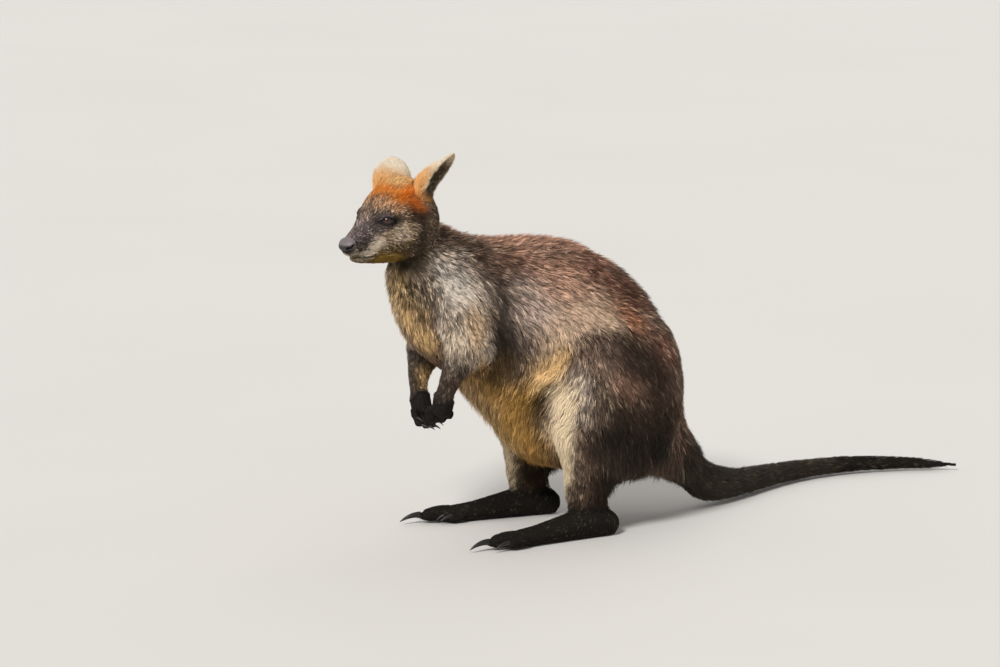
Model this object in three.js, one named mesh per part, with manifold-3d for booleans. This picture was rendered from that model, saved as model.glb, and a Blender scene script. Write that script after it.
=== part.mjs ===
// A swamp wallaby as a still, life-size museum model: it stands low and upright on its hind feet,
// its paws held together in front of the belly, its head turned a little to its left and its tail
// laid along the floor in a slow bend to the right. Millimetres. The animal faces -Y, its left is
// +X, +Z is up. Every outline is that of the tips of the coat.
import * as THREE from "three";
import { mergeVertices } from "three/addons/utils/BufferGeometryUtils.js";
import Module from "manifold-3d";

const wasm = await Module();
wasm.setup();

// ---- Driving sizes ---------------------------------------------------------------------------

const PARTING = 0.35; // width of the cut between two neighbouring pieces
const FLOOR = 0; // the level on which the soles and the tail rest
const HEAD_TURN = 10; // degrees that the head turns to the animal's left
const HEAD_PIVOT = [0, -225]; // x, y of the axis about which the head turns
const EYE_RADIUS = 10.5;
const EYE = { side: 27, ahead: 88, height: 424 }; // centre of each eye, in the head's own frame
const EAR_WIDTH = 48;
const EAR_THICK = 2.4;

const left = 1;
const right = -1;
const radians = THREE.MathUtils.degToRad;

// ---- Surfaces made of rings ------------------------------------------------------------------

// One closed body from rings of equal length, with a point at each end.
function closeRings(rings, first, last) {
  const sides = rings[0].length;
  const points = [...rings.flat(), first, last];
  const firstAt = points.length - 2;
  const lastAt = points.length - 1;
  const faces = [];
  for (let k = 0; k < sides; k++) {
    const next = (k + 1) % sides;
    faces.push(firstAt, next, k);
    for (let r = 0; r + 1 < rings.length; r++) {
      const here = r * sides;
      const there = here + sides;
      faces.push(here + k, here + next, there + next, here + k, there + next, there + k);
    }
    const end = (rings.length - 1) * sides;
    faces.push(end + k, end + next, lastAt);
  }
  const geometry = new THREE.BufferGeometry().setFromPoints(points);
  geometry.setIndex(facingOut(points, faces));
  return geometry;
}

// The same faces, turned round if they point into the body.
function facingOut(points, faces) {
  let volume = 0;
  for (let i = 0; i < faces.length; i += 3) {
    const [a, b, c] = [points[faces[i]], points[faces[i + 1]], points[faces[i + 2]]];
    volume += a.dot(b.clone().cross(c));
  }
  return volume < 0 ? faces.reverse() : faces;
}

const curve = (points) => new THREE.CatmullRomCurve3(points, false, "catmullrom", 0.5);

// Places along a row of n stations at which rings are laid. They crowd together at a round end.
function ringPlaces(n, from, to, perSpan, roundStart, roundEnd) {
  const places = [];
  for (let span = Math.floor(from); span < to; span++) {
    for (let k = 0; k < perSpan; k++) {
      let share = k / perSpan;
      if (roundStart && span === 0) share *= share;
      if (roundEnd && span === n - 2) share = 1 - (1 - share) ** 2;
      places.push(span + share);
    }
  }
  const inside = places.filter((p) => p > from + 0.02 && p < to - 0.02);
  if (!roundStart || from > 0) inside.unshift(from);
  if (!roundEnd || to < n - 1) inside.push(to);
  return inside;
}

const boxed = (value, power) => Math.sign(value) * Math.abs(value) ** power;

// A body laid through hoops. A hoop stands in a plane of the Y-Z kind: it reaches from its low
// point to its high point, [y, z] each, and `half` to either side of x = `side`. `egg` widens its
// high half and narrows its low half, and a `box` under 1 squares its corners. A hoop given only
// as {tip: [y, z]} closes a round end. `grow` swells the body, and from / to cut a length out of it.
function hoopLoft(hoops, options) {
  const n = hoops.length;
  const { sides, perSpan, grow = 0, from = 0, to = n - 1, box = 1 } = options;
  const centres = [];
  const axes = [];
  const sizes = [];
  hoops.forEach((hoop, i) => {
    const shape = hoop.tip ? hoops[i === 0 ? 1 : n - 2] : hoop;
    const high = new THREE.Vector3(0, ...shape.high);
    const low = new THREE.Vector3(0, ...shape.low);
    const axis = high.clone().sub(low);
    const centre = hoop.tip ? new THREE.Vector3(0, ...hoop.tip) : high.clone().add(low).divideScalar(2);
    centre.x = hoop.side ?? 0;
    centres.push(centre);
    axes.push(axis.clone().normalize());
    const reach = hoop.tip ? 0 : axis.length() / 2 + grow;
    const half = hoop.tip ? 0 : hoop.half + grow;
    sizes.push(new THREE.Vector3(reach * reach, half * half, shape.egg ?? 0));
  });
  for (const [end, inner] of [[0, 1], [n - 1, n - 2]]) {
    if (!hoops[end].tip) continue;
    const out = centres[end].clone().sub(centres[inner]).setLength(grow);
    centres[end].add(out);
  }
  const [centreLine, axisLine, sizeLine] = [curve(centres), curve(axes), curve(sizes)];
  const hoopAt = (place) => {
    const t = place / (n - 1);
    const centre = centreLine.getPoint(t);
    const axis = axisLine.getPoint(t).normalize();
    const size = sizeLine.getPoint(t);
    const reach = Math.sqrt(Math.max(size.x, 0.01));
    const half = Math.sqrt(Math.max(size.y, 0.01));
    const ring = [];
    for (let k = 0; k < sides; k++) {
      const turn = (2 * Math.PI * k) / sides;
      const up = boxed(Math.sin(turn), box);
      const point = centre.clone().addScaledVector(axis, reach * up);
      point.x += half * boxed(Math.cos(turn), box) * (1 + size.z * up);
      ring.push(point);
    }
    return ring;
  };
  const places = ringPlaces(n, from, to, perSpan, Boolean(hoops[0].tip), Boolean(hoops[n - 1].tip));
  const [first, last] = [from, to].map((place) => centreLine.getPoint(place / (n - 1)));
  return closeRings(places.map(hoopAt), first, last);
}

// A round, tapering body along a bent line, for fingers, toes, claws and folds.
function tubeLoft(points, radii, { sides, rings, grow = 0 }) {
  const line = new THREE.CatmullRomCurve3(points.map((p) => new THREE.Vector3(...p)));
  const sizes = curve(radii.map((r) => new THREE.Vector3(r, 0, 0)));
  const frames = line.computeFrenetFrames(rings + 1);
  const loops = [];
  for (let i = 1; i <= rings; i++) {
    const t = i / (rings + 1);
    const roundEnd = Math.min(1, 0.55 + 2.2 * Math.min(t, 1 - t));
    const radius = sizes.getPoint(t).x * roundEnd + grow;
    const centre = line.getPointAt(t);
    const ring = [];
    for (let k = 0; k < sides; k++) {
      const turn = (2 * Math.PI * k) / sides;
      const point = centre
        .clone()
        .addScaledVector(frames.normals[i], Math.cos(turn) * radius)
        .addScaledVector(frames.binormals[i], Math.sin(turn) * radius);
      ring.push(point);
    }
    loops.push(ring);
  }
  const ends = [line.getPoint(0), line.getPoint(1)];
  const along = ends[1].clone().sub(ends[0]).setLength(grow);
  return closeRings(loops, ends[0].sub(along), ends[1].add(along));
}

// ---- Solids ----------------------------------------------------------------------------------

function solid(geometry) {
  geometry.deleteAttribute("normal");
  geometry.deleteAttribute("uv");
  const merged = mergeVertices(geometry, 1e-3);
  return new wasm.Manifold(
    new wasm.Mesh({
      numProp: 3,
      vertProperties: new Float32Array(merged.attributes.position.array),
      triVerts: new Uint32Array(merged.index.array),
    }),
  );
}

function geometryOf(body) {
  const mesh = body.getMesh();
  const geometry = new THREE.BufferGeometry();
  geometry.setAttribute("position", new THREE.BufferAttribute(mesh.vertProperties, 3));
  geometry.setIndex(new THREE.BufferAttribute(mesh.triVerts, 1));
  geometry.computeVertexNormals();
  return geometry;
}

// The piece of a geometry that has the most faces, without the loose slivers that a cut leaves.
function mainPiece(geometry) {
  const index = geometry.index.array;
  const leader = Array.from({ length: geometry.attributes.position.count }, (_, i) => i);
  const find = (i) => {
    while (leader[i] !== i) {
      leader[i] = leader[leader[i]];
      i = leader[i];
    }
    return i;
  };
  for (let i = 0; i < index.length; i += 3) {
    leader[find(index[i + 1])] = find(index[i]);
    leader[find(index[i + 2])] = find(index[i]);
  }
  const faces = new Map();
  for (let i = 0; i < index.length; i += 3) {
    const key = find(index[i]);
    if (!faces.has(key)) faces.set(key, []);
    faces.get(key).push(index[i], index[i + 1], index[i + 2]);
  }
  const largest = [...faces.values()].sort((a, b) => b.length - a.length)[0];
  geometry.setIndex(largest);
  return geometry;
}

const joined = (...bodies) => bodies.reduce((all, body) => all.add(body));
const without = (body, ...others) => others.reduce((rest, other) => rest.subtract(other), body);
const floorBlock = solid(new THREE.BoxGeometry(4000, 4000, 100).translate(0, 0, FLOOR - 50));

// A body and the same body swollen by the parting cut, which makes room for it in its neighbours.
function keeper(make) {
  return { body: make(0), room: make(PARTING) };
}

const moved = (geometry, matrix) => geometry.applyMatrix4(matrix);

// ---- Trunk, neck and tail: one line of hoops -------------------------------------------------

const SPINE = [
  { high: [-219, 415], low: [-282, 366], half: 31 }, // inside the back of the head
  { high: [-199, 400], low: [-291, 350], half: 38 }, // throat
  { high: [-176, 389], low: [-286, 320], half: 47 },
  { high: [-143, 386], low: [-278, 288], half: 56 }, // shoulders
  { high: [-100, 387], low: [-259, 252], half: 63 },
  { high: [-52, 382], low: [-226, 222], half: 70 }, // last ribs
  { high: [2, 362], low: [-188, 196], half: 78 },
  { high: [52, 327], low: [-155, 160], half: 84 }, // belly
  { high: [91, 278], low: [-123, 118], half: 85 },
  { high: [115, 220], low: [-84, 84], half: 79 }, // groin
  { high: [128, 163], low: [-18, 64], half: 65 },
  { high: [138, 121], low: [64, 62], half: 45 }, // root of the tail
  { high: [156, 86], low: [116, 46], half: 29, side: -3 },
  { high: [190, 61], low: [160, 8], half: 24, side: -12 },
  { high: [232, 47], low: [222, -1.8], half: 22, side: -34 }, // the tail meets the floor
  { high: [288, 39], low: [284, -1.8], half: 19.5, side: -66 },
  { high: [352, 33], low: [350, -1.6], half: 17.5, side: -96 },
  { high: [420, 29], low: [420, -1.6], half: 15.5, side: -112 },
  { high: [490, 25], low: [491, -1.5], half: 13, side: -106 },
  { high: [555, 20], low: [557, -1.5], half: 10, side: -84 },
  { tip: [602, 8], side: -58 },
];
const PART_AT = { neckEnd: 2.6, chestEnd: 5.6, rumpEnd: 11.3, tailBaseEnd: 14.5, tailMidEnd: 17.2 };
const HALF_CUT = 0.004; // in stations: each side of a parting cut across the spine

function spineLength(from, to, grow = 0) {
  const last = SPINE.length - 1;
  const start = from > 0 ? from + HALF_CUT : 0;
  const end = to < last ? to - HALF_CUT : last;
  const sides = from < PART_AT.rumpEnd ? 20 : 12;
  return solid(hoopLoft(SPINE, { sides, perSpan: 2, grow, from: start, to: end }));
}

// ---- Head ------------------------------------------------------------------------------------

// In the head's own frame y counts forwards from the turning axis, so hoops use [-ahead, height].
const skullHoop = (ahead, top, bottom, half, egg = 0) => ({
  high: [-ahead, top],
  low: [-ahead, bottom],
  half,
  egg,
});
const SKULL = [
  { tip: [-3, 412] },
  skullHoop(10, 446, 380, 32),
  skullHoop(25, 463, 371, 40, 0.02),
  skullHoop(46, 473, 366, 42, 0.02), // cheeks
  skullHoop(68, 467, 367, 39, 0.08), // behind the eyes
  skullHoop(87, 453.5, 371, 33, 0.14), // eyes
  skullHoop(101, 436, 375, 25.5, 0.12), // below the brow
  skullHoop(112, 421, 378, 19.5, 0.04),
  skullHoop(123, 410, 378, 16.5), // muzzle
  skullHoop(131, 403, 379, 14.5),
  { tip: [-138, 389] },
];
const JAW = [
  { tip: [-60, 377] },
  skullHoop(68, 391, 366, 29),
  skullHoop(86, 389, 366.5, 24),
  skullHoop(103, 385, 367.5, 17.5),
  skullHoop(114, 382, 368.5, 13.5),
  skullHoop(122, 379.5, 370.5, 9.5),
  { tip: [-127, 375.5] },
];
const NOSE = [
  { tip: [-119, 395] },
  skullHoop(128, 403.5, 387, 12.4, 0.06),
  skullHoop(135, 402, 385.5, 12.4, 0.1),
  { tip: [-141.5, 393] },
];
const NOSTRIL = { side: 9.6, ahead: 136.6, height: 392, radius: 2.5 };

const SKULL_MESH = { sides: 22, perSpan: 2, box: 0.88 };
const JAW_MESH = { sides: 14, perSpan: 1, box: 0.9 };
const NOSE_MESH = { sides: 12, perSpan: 2, box: 0.85 };

const headFrame = new THREE.Matrix4()
  .makeTranslation(HEAD_PIVOT[0], HEAD_PIVOT[1], 0)
  .multiply(new THREE.Matrix4().makeRotationZ(radians(HEAD_TURN)));

const inHead = (geometry) => solid(moved(geometry, headFrame));

function ball({ side, ahead, height }, radius, widthSegments, heightSegments, stretch = [1, 1, 1]) {
  const geometry = new THREE.SphereGeometry(radius, widthSegments, heightSegments);
  geometry.scale(...stretch).translate(side, -ahead, height);
  return inHead(geometry);
}

const eyeBall = (side, grow) => ball({ ...EYE, side: side * EYE.side }, EYE_RADIUS + grow, 10, 7);

function nosePad() {
  const pad = inHead(hoopLoft(NOSE, NOSE_MESH));
  const nostrils = [left, right].map((side) =>
    ball({ ...NOSTRIL, side: side * NOSTRIL.side }, NOSTRIL.radius, 8, 6, [1.1, 1.4, 1]),
  );
  return without(pad, ...nostrils);
}

// An ear is a cupped leaf. Its rings run from the base to the tip: the back is half an ellipse,
// and the front follows it at the ear's thickness, except at the base, where it is filled.
function earLeaf(length) {
  const stops = [0, 0.13, 0.26, 0.4, 0.55, 0.7, 0.83, 0.94];
  const across = 6;
  const rings = stops.map((t) => {
    const half = (EAR_WIDTH / 2) * Math.sin(Math.PI * (0.2 + 0.8 * t)) ** 0.45;
    const depth = half * (0.85 - 0.4 * t);
    const open = THREE.MathUtils.smoothstep(t, 0.1, 0.38);
    const inner = THREE.MathUtils.lerp(-0.7 * depth, Math.max(depth - EAR_THICK * 1.3, 0.3), open);
    const lean = 7 * t * t; // the tip bends back over
    const arc = (x, y) =>
      Array.from({ length: across + 1 }, (_, k) => {
        const turn = (Math.PI * k) / across;
        return new THREE.Vector3(x * Math.cos(turn), -y * Math.sin(turn) - lean, length * t);
      });
    const front = arc(half - EAR_THICK * 0.75, inner).reverse().slice(1, -1);
    return [...arc(half, depth), ...front];
  });
  return closeRings(rings, new THREE.Vector3(0, 0, -1), new THREE.Vector3(0, -7.5, length));
}

// Each ear runs from its base to its tip, [side, ahead, height] in the head's frame, and opens
// this many degrees round from straight ahead, towards the animal's left.
const EARS = {
  [left]: { base: [26, 36, 447], tip: [52, -4, 499], opens: 128 },
  [right]: { base: [-26, 41, 445], tip: [-60, 20, 484], opens: -124 },
};

function ear(side) {
  const { base, tip, opens } = EARS[side];
  const point = ([across, ahead, height]) => new THREE.Vector3(across, -ahead, height);
  const axis = point(tip).sub(point(base));
  const length = axis.length();
  axis.normalize();
  const facing = new THREE.Vector3(Math.sin(radians(opens)), -Math.cos(radians(opens)), 0);
  const across = facing.cross(axis).normalize();
  const opening = axis.clone().cross(across);
  const frame = new THREE.Matrix4().makeBasis(across, opening, axis).setPosition(point(base));
  return inHead(moved(earLeaf(length), frame));
}

// ---- Hind legs -------------------------------------------------------------------------------

// Each hoop's x is for the left leg; the right leg mirrors it and stands `ahead` of it.
const THIGH = [
  { tip: [109, 200], side: 46 },
  { high: [78, 275], low: [94, 116], half: 40, side: 56 },
  { high: [24, 292], low: [38, 74], half: 46, side: 64 },
  { high: [-28, 270], low: [-14, 72], half: 45, side: 71 },
  { high: [-65, 228], low: [-58, 94], half: 36, side: 77 },
  { tip: [-99, 159], side: 79 },
];
// The fold of skin from the knee forward to the belly, as [x, y, z] of the left flank.
const FLANK_FOLD = {
  points: [[77, -32, 244], [82, -74, 220], [75, -106, 200], [60, -132, 185]],
  radii: [15, 14, 12, 7],
};
const SHANK = [
  { tip: [-56, 214], side: 78 },
  { high: [-100, 180], low: [-20, 164], half: 30, side: 79 },
  { high: [-91, 136], low: [-10, 118], half: 28, side: 78 },
  { high: [-80, 90], low: [-8, 72], half: 23, side: 75 },
  { high: [-79, 54], low: [-10, 34], half: 18, side: 72 },
  { tip: [-44, 16], side: 71 },
];
const SOLE = -2.4; // the soles are modelled this far under the floor, which then cuts them flat
const FOOT = [
  { tip: [12, 15], side: 0 },
  { high: [2, 32], low: [2, SOLE], half: 14.5, side: 0 },
  { high: [-30, 41], low: [-28, SOLE], half: 17, side: 0 },
  { high: [-72, 33], low: [-70, SOLE], half: 16.5, side: 0 },
  { high: [-112, 24], low: [-111, SOLE], half: 16.5, side: 0 },
  { high: [-146, 20], low: [-146, SOLE], half: 17, side: 0.5 },
  { tip: [-163, 8], side: 1 },
];
// Toes of the left foot, from the joined second and third on the inside to the fifth.
const TOES = [
  { name: "second", root: [-12.5, -120, 8], tip: [-16.5, -153, 6.5], radius: 5.6, claw: 9 },
  { name: "third", root: [-7, -122, 8], tip: [-9.5, -156, 6.5], radius: 5.6, claw: 9 },
  { name: "fourth", root: [1, -128, 11], tip: [2, -188, 8], radius: 10.5, claw: 22 },
  { name: "fifth", root: [12, -124, 10], tip: [17, -167, 7], radius: 8, claw: 15 },
];
const FEET = {
  [left]: { x: 72, y: -8, splay: 5 },
  [right]: { x: -72, y: -20, splay: -5 },
};
const RIGHT_LEG_AHEAD = 12;

const mirroredHoops = (hoops, side, ahead) =>
  hoops.map((hoop) => {
    const shift = ([y, z]) => [y - ahead, z];
    return {
      ...hoop,
      side: side * hoop.side,
      ...(hoop.tip ? { tip: shift(hoop.tip) } : { high: shift(hoop.high), low: shift(hoop.low) }),
    };
  });

function legPart(hoops, side, options, fold) {
  const ahead = side === right ? RIGHT_LEG_AHEAD : 0;
  return keeper((grow) => {
    const body = solid(hoopLoft(mirroredHoops(hoops, side, ahead), { ...options, grow }));
    if (!fold) return body;
    const points = fold.points.map(([x, y, z]) => [side * x, y - ahead, z]);
    return body.add(solid(tubeLoft(points, fold.radii, { sides: 9, rings: 4, grow })));
  });
}

const footFrame = (side) =>
  new THREE.Matrix4()
    .makeTranslation(FEET[side].x, FEET[side].y, 0)
    .multiply(new THREE.Matrix4().makeRotationZ(radians(FEET[side].splay)));

const mirrorX = ([x, y, z], side) => [side * x, y, z];

function toe(side, { root, tip, radius }, grow) {
  const knuckle = [(root[0] + tip[0]) / 2, (root[1] + tip[1]) / 2, radius * 1.12];
  const geometry = tubeLoft(
    [root, knuckle, tip].map((p) => mirrorX(p, side)),
    [radius, radius * 1.05, radius * 0.7],
    { sides: 7, rings: 3, grow },
  );
  return solid(moved(geometry, footFrame(side)));
}

function footBody(side, grow) {
  const sole = hoopLoft(mirroredHoops(FOOT, side, 0), { sides: 12, perSpan: 2, grow });
  return joined(solid(moved(sole, footFrame(side))), ...TOES.map((each) => toe(side, each, grow)));
}

// A claw: a tapering, down-curving spike with its root inside the digit.
function claw(root, tip, droop, radius) {
  const middle = root.map((value, i) => (value + tip[i]) / 2 + (i === 2 ? droop : 0));
  return tubeLoft([root, middle, tip], [radius, radius * 0.8, radius * 0.25], { sides: 5, rings: 1 });
}

function toeClaw(side, { tip, radius, claw: reach }) {
  const root = [tip[0], tip[1] + 7, tip[2] + 3];
  const end = [tip[0] * 1.04, tip[1] - reach, 2.2];
  const geometry = claw(mirrorX(root, side), mirrorX(end, side), 2.5, radius * 0.42);
  return solid(moved(geometry, footFrame(side)));
}

// ---- Forelimbs -------------------------------------------------------------------------------

// Hoops of the left forelimb. The right one mirrors them, and hangs lower and a little further back.
const UPPER_ARM = [
  { tip: [-188, 350], side: 36 },
  { high: [-243, 322], low: [-172, 316], half: 23, side: 46 },
  { high: [-247, 290], low: [-164, 276], half: 24, side: 55 },
  { high: [-239, 262], low: [-166, 244], half: 21, side: 61 },
  { tip: [-190, 226], side: 62 },
];
const FOREARM = [
  { tip: [-190, 252], side: 62 },
  { high: [-237, 258], low: [-187, 236], half: 18, side: 60 },
  { high: [-241, 234], low: [-201, 218], half: 15.5, side: 55 },
  { high: [-244, 212], low: [-211, 201], half: 13, side: 48 },
  { high: [-242, 194], low: [-216, 187], half: 11, side: 41 },
  { tip: [-230, 177], side: 37 },
];
const RIGHT_ARM = { behind: 3, lower: 13 };
// The hand: palm and five digits, from the thumb in front to the fifth behind, as [x, y, z] of
// the left hand. They reach down and in, towards the other paw.
const PALM = { points: [[44, -229, 206], [37, -228, 185], [29, -227, 162]], radii: [11, 13, 10.5] };
const DIGITS = [
  { root: [33, -237, 182], bend: [25, -243, 173], tip: [16, -241, 168] },
  { root: [30, -236, 174], bend: [21, -240, 163], tip: [12, -236, 159] },
  { root: [28, -229, 171], bend: [19, -231, 160], tip: [9, -228, 157] },
  { root: [29, -222, 171], bend: [20, -221, 160], tip: [10, -219, 157] },
  { root: [32, -217, 174], bend: [24, -213, 165], tip: [15, -212, 161] },
];
const DIGIT_RADIUS = 4.6;
const FINGER_CLAW = { length: 6.5, radius: 1.8 };

function armShift(side) {
  const shift = new THREE.Matrix4();
  return side === right ? shift.makeTranslation(0, RIGHT_ARM.behind, -RIGHT_ARM.lower) : shift;
}

const armPart = (hoops, side, options) =>
  keeper((grow) => {
    const lowered = mirroredHoops(hoops, side, 0);
    return solid(moved(hoopLoft(lowered, { ...options, grow }), armShift(side)));
  });

function handBody(side, grow) {
  const place = (points) => points.map((p) => mirrorX(p, side));
  const palm = tubeLoft(place(PALM.points), PALM.radii, { sides: 9, rings: 3, grow });
  const taper = [DIGIT_RADIUS, DIGIT_RADIUS, DIGIT_RADIUS * 0.75];
  const digits = DIGITS.map(({ root, bend, tip }) =>
    tubeLoft(place([root, bend, tip]), taper, { sides: 6, rings: 2, grow }),
  );
  return joined(...[palm, ...digits].map((geometry) => solid(moved(geometry, armShift(side)))));
}

function fingerClaw(side, { bend, tip }) {
  const root = tip.map((value, i) => value + (bend[i] - value) * 0.15);
  const aim = new THREE.Vector3(...tip).sub(new THREE.Vector3(...bend)).setLength(FINGER_CLAW.length);
  const end = [tip[0] + aim.x, tip[1] + aim.y + 2, tip[2] + aim.z - 1.5];
  const geometry = claw(mirrorX(root, side), mirrorX(end, side), 1, FINGER_CLAW.radius);
  return solid(moved(geometry, armShift(side)));
}

// ---- Materials -------------------------------------------------------------------------------

const fur = (colour) => new THREE.MeshStandardMaterial({ color: colour, roughness: 0.9, metalness: 0 });
const FINISH = {
  backFur: fur(0x5c4c40),
  headFur: fur(0x6f6455),
  pawFur: fur(0x2c2524),
  earFur: fur(0xb06a2c),
  nose: new THREE.MeshStandardMaterial({ color: 0x262325, roughness: 0.45, metalness: 0 }),
  eye: new THREE.MeshStandardMaterial({ color: 0x1a0e0a, roughness: 0.08, metalness: 0 }),
  claw: new THREE.MeshStandardMaterial({ color: 0x2b2623, roughness: 0.4, metalness: 0 }),
};

// ---- Assembly --------------------------------------------------------------------------------

const wallaby = new THREE.Group();

function add(name, body, finish) {
  const mesh = new THREE.Mesh(mainPiece(geometryOf(body.subtract(floorBlock))), finish);
  mesh.name = name;
  wallaby.add(mesh);
}

const skull = keeper((grow) => inHead(hoopLoft(SKULL, { ...SKULL_MESH, grow })));
const nose = keeper((grow) => inHead(hoopLoft(NOSE, { ...NOSE_MESH, grow })));
const jaw = keeper((grow) => inHead(hoopLoft(JAW, { ...JAW_MESH, grow })));
const eyeRooms = [left, right].map((side) => eyeBall(side, PARTING));
add("head", without(skull.body, nose.room, ...eyeRooms), FINISH.headFur);
add("nose", nosePad(), FINISH.nose);
add("jaw", without(jaw.body, skull.room, nose.room), FINISH.headFur);

const trunk = spineLength(0, PART_AT.rumpEnd, PARTING);
add("neck", without(spineLength(0, PART_AT.neckEnd), skull.room, jaw.room), FINISH.headFur);
add("chest", spineLength(PART_AT.neckEnd, PART_AT.chestEnd), FINISH.backFur);
add("rump", spineLength(PART_AT.chestEnd, PART_AT.rumpEnd), FINISH.backFur);
add("tail_base", spineLength(PART_AT.rumpEnd, PART_AT.tailBaseEnd), FINISH.backFur);
add("tail_middle", spineLength(PART_AT.tailBaseEnd, PART_AT.tailMidEnd), FINISH.backFur);
add("tail_tip", spineLength(PART_AT.tailMidEnd, SPINE.length - 1), FINISH.backFur);

for (const [side, word] of [[left, "left"], [right, "right"]]) {
  add(`eye_${word}`, eyeBall(side, 0), FINISH.eye);
  add(`ear_${word}`, without(ear(side), skull.room), FINISH.earFur);

  const upperArm = armPart(UPPER_ARM, side, { sides: 12, perSpan: 2 });
  const forearm = armPart(FOREARM, side, { sides: 10, perSpan: 2 });
  const hand = keeper((grow) => handBody(side, grow));
  add(`upper_arm_${word}`, without(upperArm.body, trunk), FINISH.headFur);
  add(`forearm_${word}`, without(forearm.body, trunk, upperArm.room), FINISH.pawFur);
  add(`hand_${word}`, without(hand.body, forearm.room), FINISH.pawFur);
  DIGITS.forEach((digit, i) => {
    add(`claw_hand_${word}_${i + 1}`, without(fingerClaw(side, digit), hand.room), FINISH.claw);
  });

  const thigh = legPart(THIGH, side, { sides: 17, perSpan: 2 }, FLANK_FOLD);
  const shank = legPart(SHANK, side, { sides: 12, perSpan: 2 });
  const foot = keeper((grow) => footBody(side, grow));
  const tailRoom = spineLength(PART_AT.rumpEnd - 0.1, PART_AT.tailBaseEnd, PARTING);
  add(`thigh_${word}`, without(thigh.body, trunk, tailRoom), FINISH.backFur);
  add(`shank_${word}`, without(shank.body, trunk, thigh.room, foot.room), FINISH.pawFur);
  add(`foot_${word}`, foot.body, FINISH.pawFur);
  for (const each of TOES) {
    add(`claw_foot_${word}_${each.name}`, without(toeClaw(side, each), foot.room), FINISH.claw);
  }
}

// The origin is on the floor, under the middle of the whole animal.
const extent = new THREE.Box3().setFromObject(wallaby);
const middle = extent.getCenter(new THREE.Vector3());
wallaby.position.set(-middle.x, -middle.y, -FLOOR);

export default wallaby;
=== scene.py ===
# %% [markdown]
# # A swamp wallaby, life size
#
# The finished object is a still museum model of a swamp wallaby, low on its hind feet with its
# paws together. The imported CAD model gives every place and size. This notebook puts the living
# surface over it: one skin, moist eyes, a leather nose, horn claws and a coat of about two
# hundred and fifty thousand small locks. Everything is measured in metres in the frame of the CAD
# model: the animal faces -Y, its left side is +X, and the floor is at z = 0.

# %% Load the frame
import math
import time

import bmesh
import bpy
import numpy as np
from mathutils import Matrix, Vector
from mathutils.bvhtree import BVHTree
from mathutils.kdtree import KDTree


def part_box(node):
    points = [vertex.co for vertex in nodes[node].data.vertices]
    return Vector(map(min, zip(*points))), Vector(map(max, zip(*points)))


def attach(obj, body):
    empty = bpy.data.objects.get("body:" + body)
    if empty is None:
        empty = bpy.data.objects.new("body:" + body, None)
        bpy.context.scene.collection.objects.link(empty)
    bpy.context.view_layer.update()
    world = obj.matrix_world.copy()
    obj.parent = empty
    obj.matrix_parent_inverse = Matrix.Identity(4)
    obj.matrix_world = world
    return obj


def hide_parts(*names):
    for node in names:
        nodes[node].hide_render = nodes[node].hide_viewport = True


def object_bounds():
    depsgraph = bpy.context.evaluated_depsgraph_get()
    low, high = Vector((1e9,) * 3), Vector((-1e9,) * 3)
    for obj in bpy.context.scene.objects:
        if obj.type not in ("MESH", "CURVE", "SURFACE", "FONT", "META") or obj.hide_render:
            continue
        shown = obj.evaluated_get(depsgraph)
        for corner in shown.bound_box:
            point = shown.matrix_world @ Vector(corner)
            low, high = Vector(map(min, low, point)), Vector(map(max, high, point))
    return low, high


started = time.time()
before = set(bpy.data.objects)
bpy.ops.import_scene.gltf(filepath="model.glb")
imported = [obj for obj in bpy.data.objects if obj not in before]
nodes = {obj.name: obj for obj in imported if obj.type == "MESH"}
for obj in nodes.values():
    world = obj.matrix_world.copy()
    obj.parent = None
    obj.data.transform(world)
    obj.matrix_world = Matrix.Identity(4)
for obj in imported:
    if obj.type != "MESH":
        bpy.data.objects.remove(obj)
cad_low, cad_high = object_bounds()
MM = 0.001


def seconds():
    """How long the script has run."""
    return round(time.time() - started, 1)


print("the frame holds", len(nodes), "nodes; its box is", cad_high - cad_low)

# %% [markdown]
# ## The studio
#
# A plain pale floor, a long lens six metres off and two broad soft lamps. Near lamps would light
# the floor in a pool, so these are distant ones with a wide spread, which keeps their shadows
# soft. The lamps and the world add up to about one, so that a colour renders as it is written.

# %% Directions round the animal
VIEW_DISTANCE = 6.0


def direction(azimuth, elevation):
    """The unit vector towards a place round the animal. Azimuth 0 is in front of it."""
    turn = math.radians(azimuth)
    rise = math.radians(elevation)
    return Vector((math.sin(turn) * math.cos(rise), -math.cos(turn) * math.cos(rise), math.sin(rise)))


def add_object(name, data):
    """A new object of this data, in the scene."""
    made = bpy.data.objects.new(name, data)
    bpy.context.collection.objects.link(made)
    return made


def look_from(placed, target, azimuth, elevation):
    """Puts a camera or a lamp off the target in this direction, looking back at it."""
    away = direction(azimuth, elevation)
    placed.location = target + away * VIEW_DISTANCE
    placed.rotation_mode = "QUATERNION"
    placed.rotation_quaternion = (-away).to_track_quat("-Z", "Y")


# %% Camera
VIEW_AZIMUTH = 64
VIEW_ELEVATION = 10.5
AIM_SHIFT = Vector((-0.0857, -0.2044, -0.0109))
LENS = 166.15
box_middle = (cad_low + cad_high) / 2

camera_data = bpy.data.cameras.new("camera")
camera_data.lens = LENS
camera_data.sensor_width = 36
camera_data.clip_end = 100
camera = add_object("camera", camera_data)
look_from(camera, box_middle + AIM_SHIFT, VIEW_AZIMUTH, VIEW_ELEVATION)
bpy.context.scene.camera = camera
bpy.context.scene.view_settings.view_transform = "Standard"
print("the camera looks from", camera.location)

# %% Lamps
KEY_LEVEL = 0.86
FILL_LEVEL = 0.20
SKY_LEVEL = 0.46


def lamp(name, azimuth, elevation, spread, level):
    """A distant lamp, spread in degrees, that lights a white card facing it to this level."""
    data = bpy.data.lights.new(name, "SUN")
    data.angle = math.radians(spread)
    data.energy = level * math.pi
    look_from(add_object(name, data), box_middle, azimuth, elevation)


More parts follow.
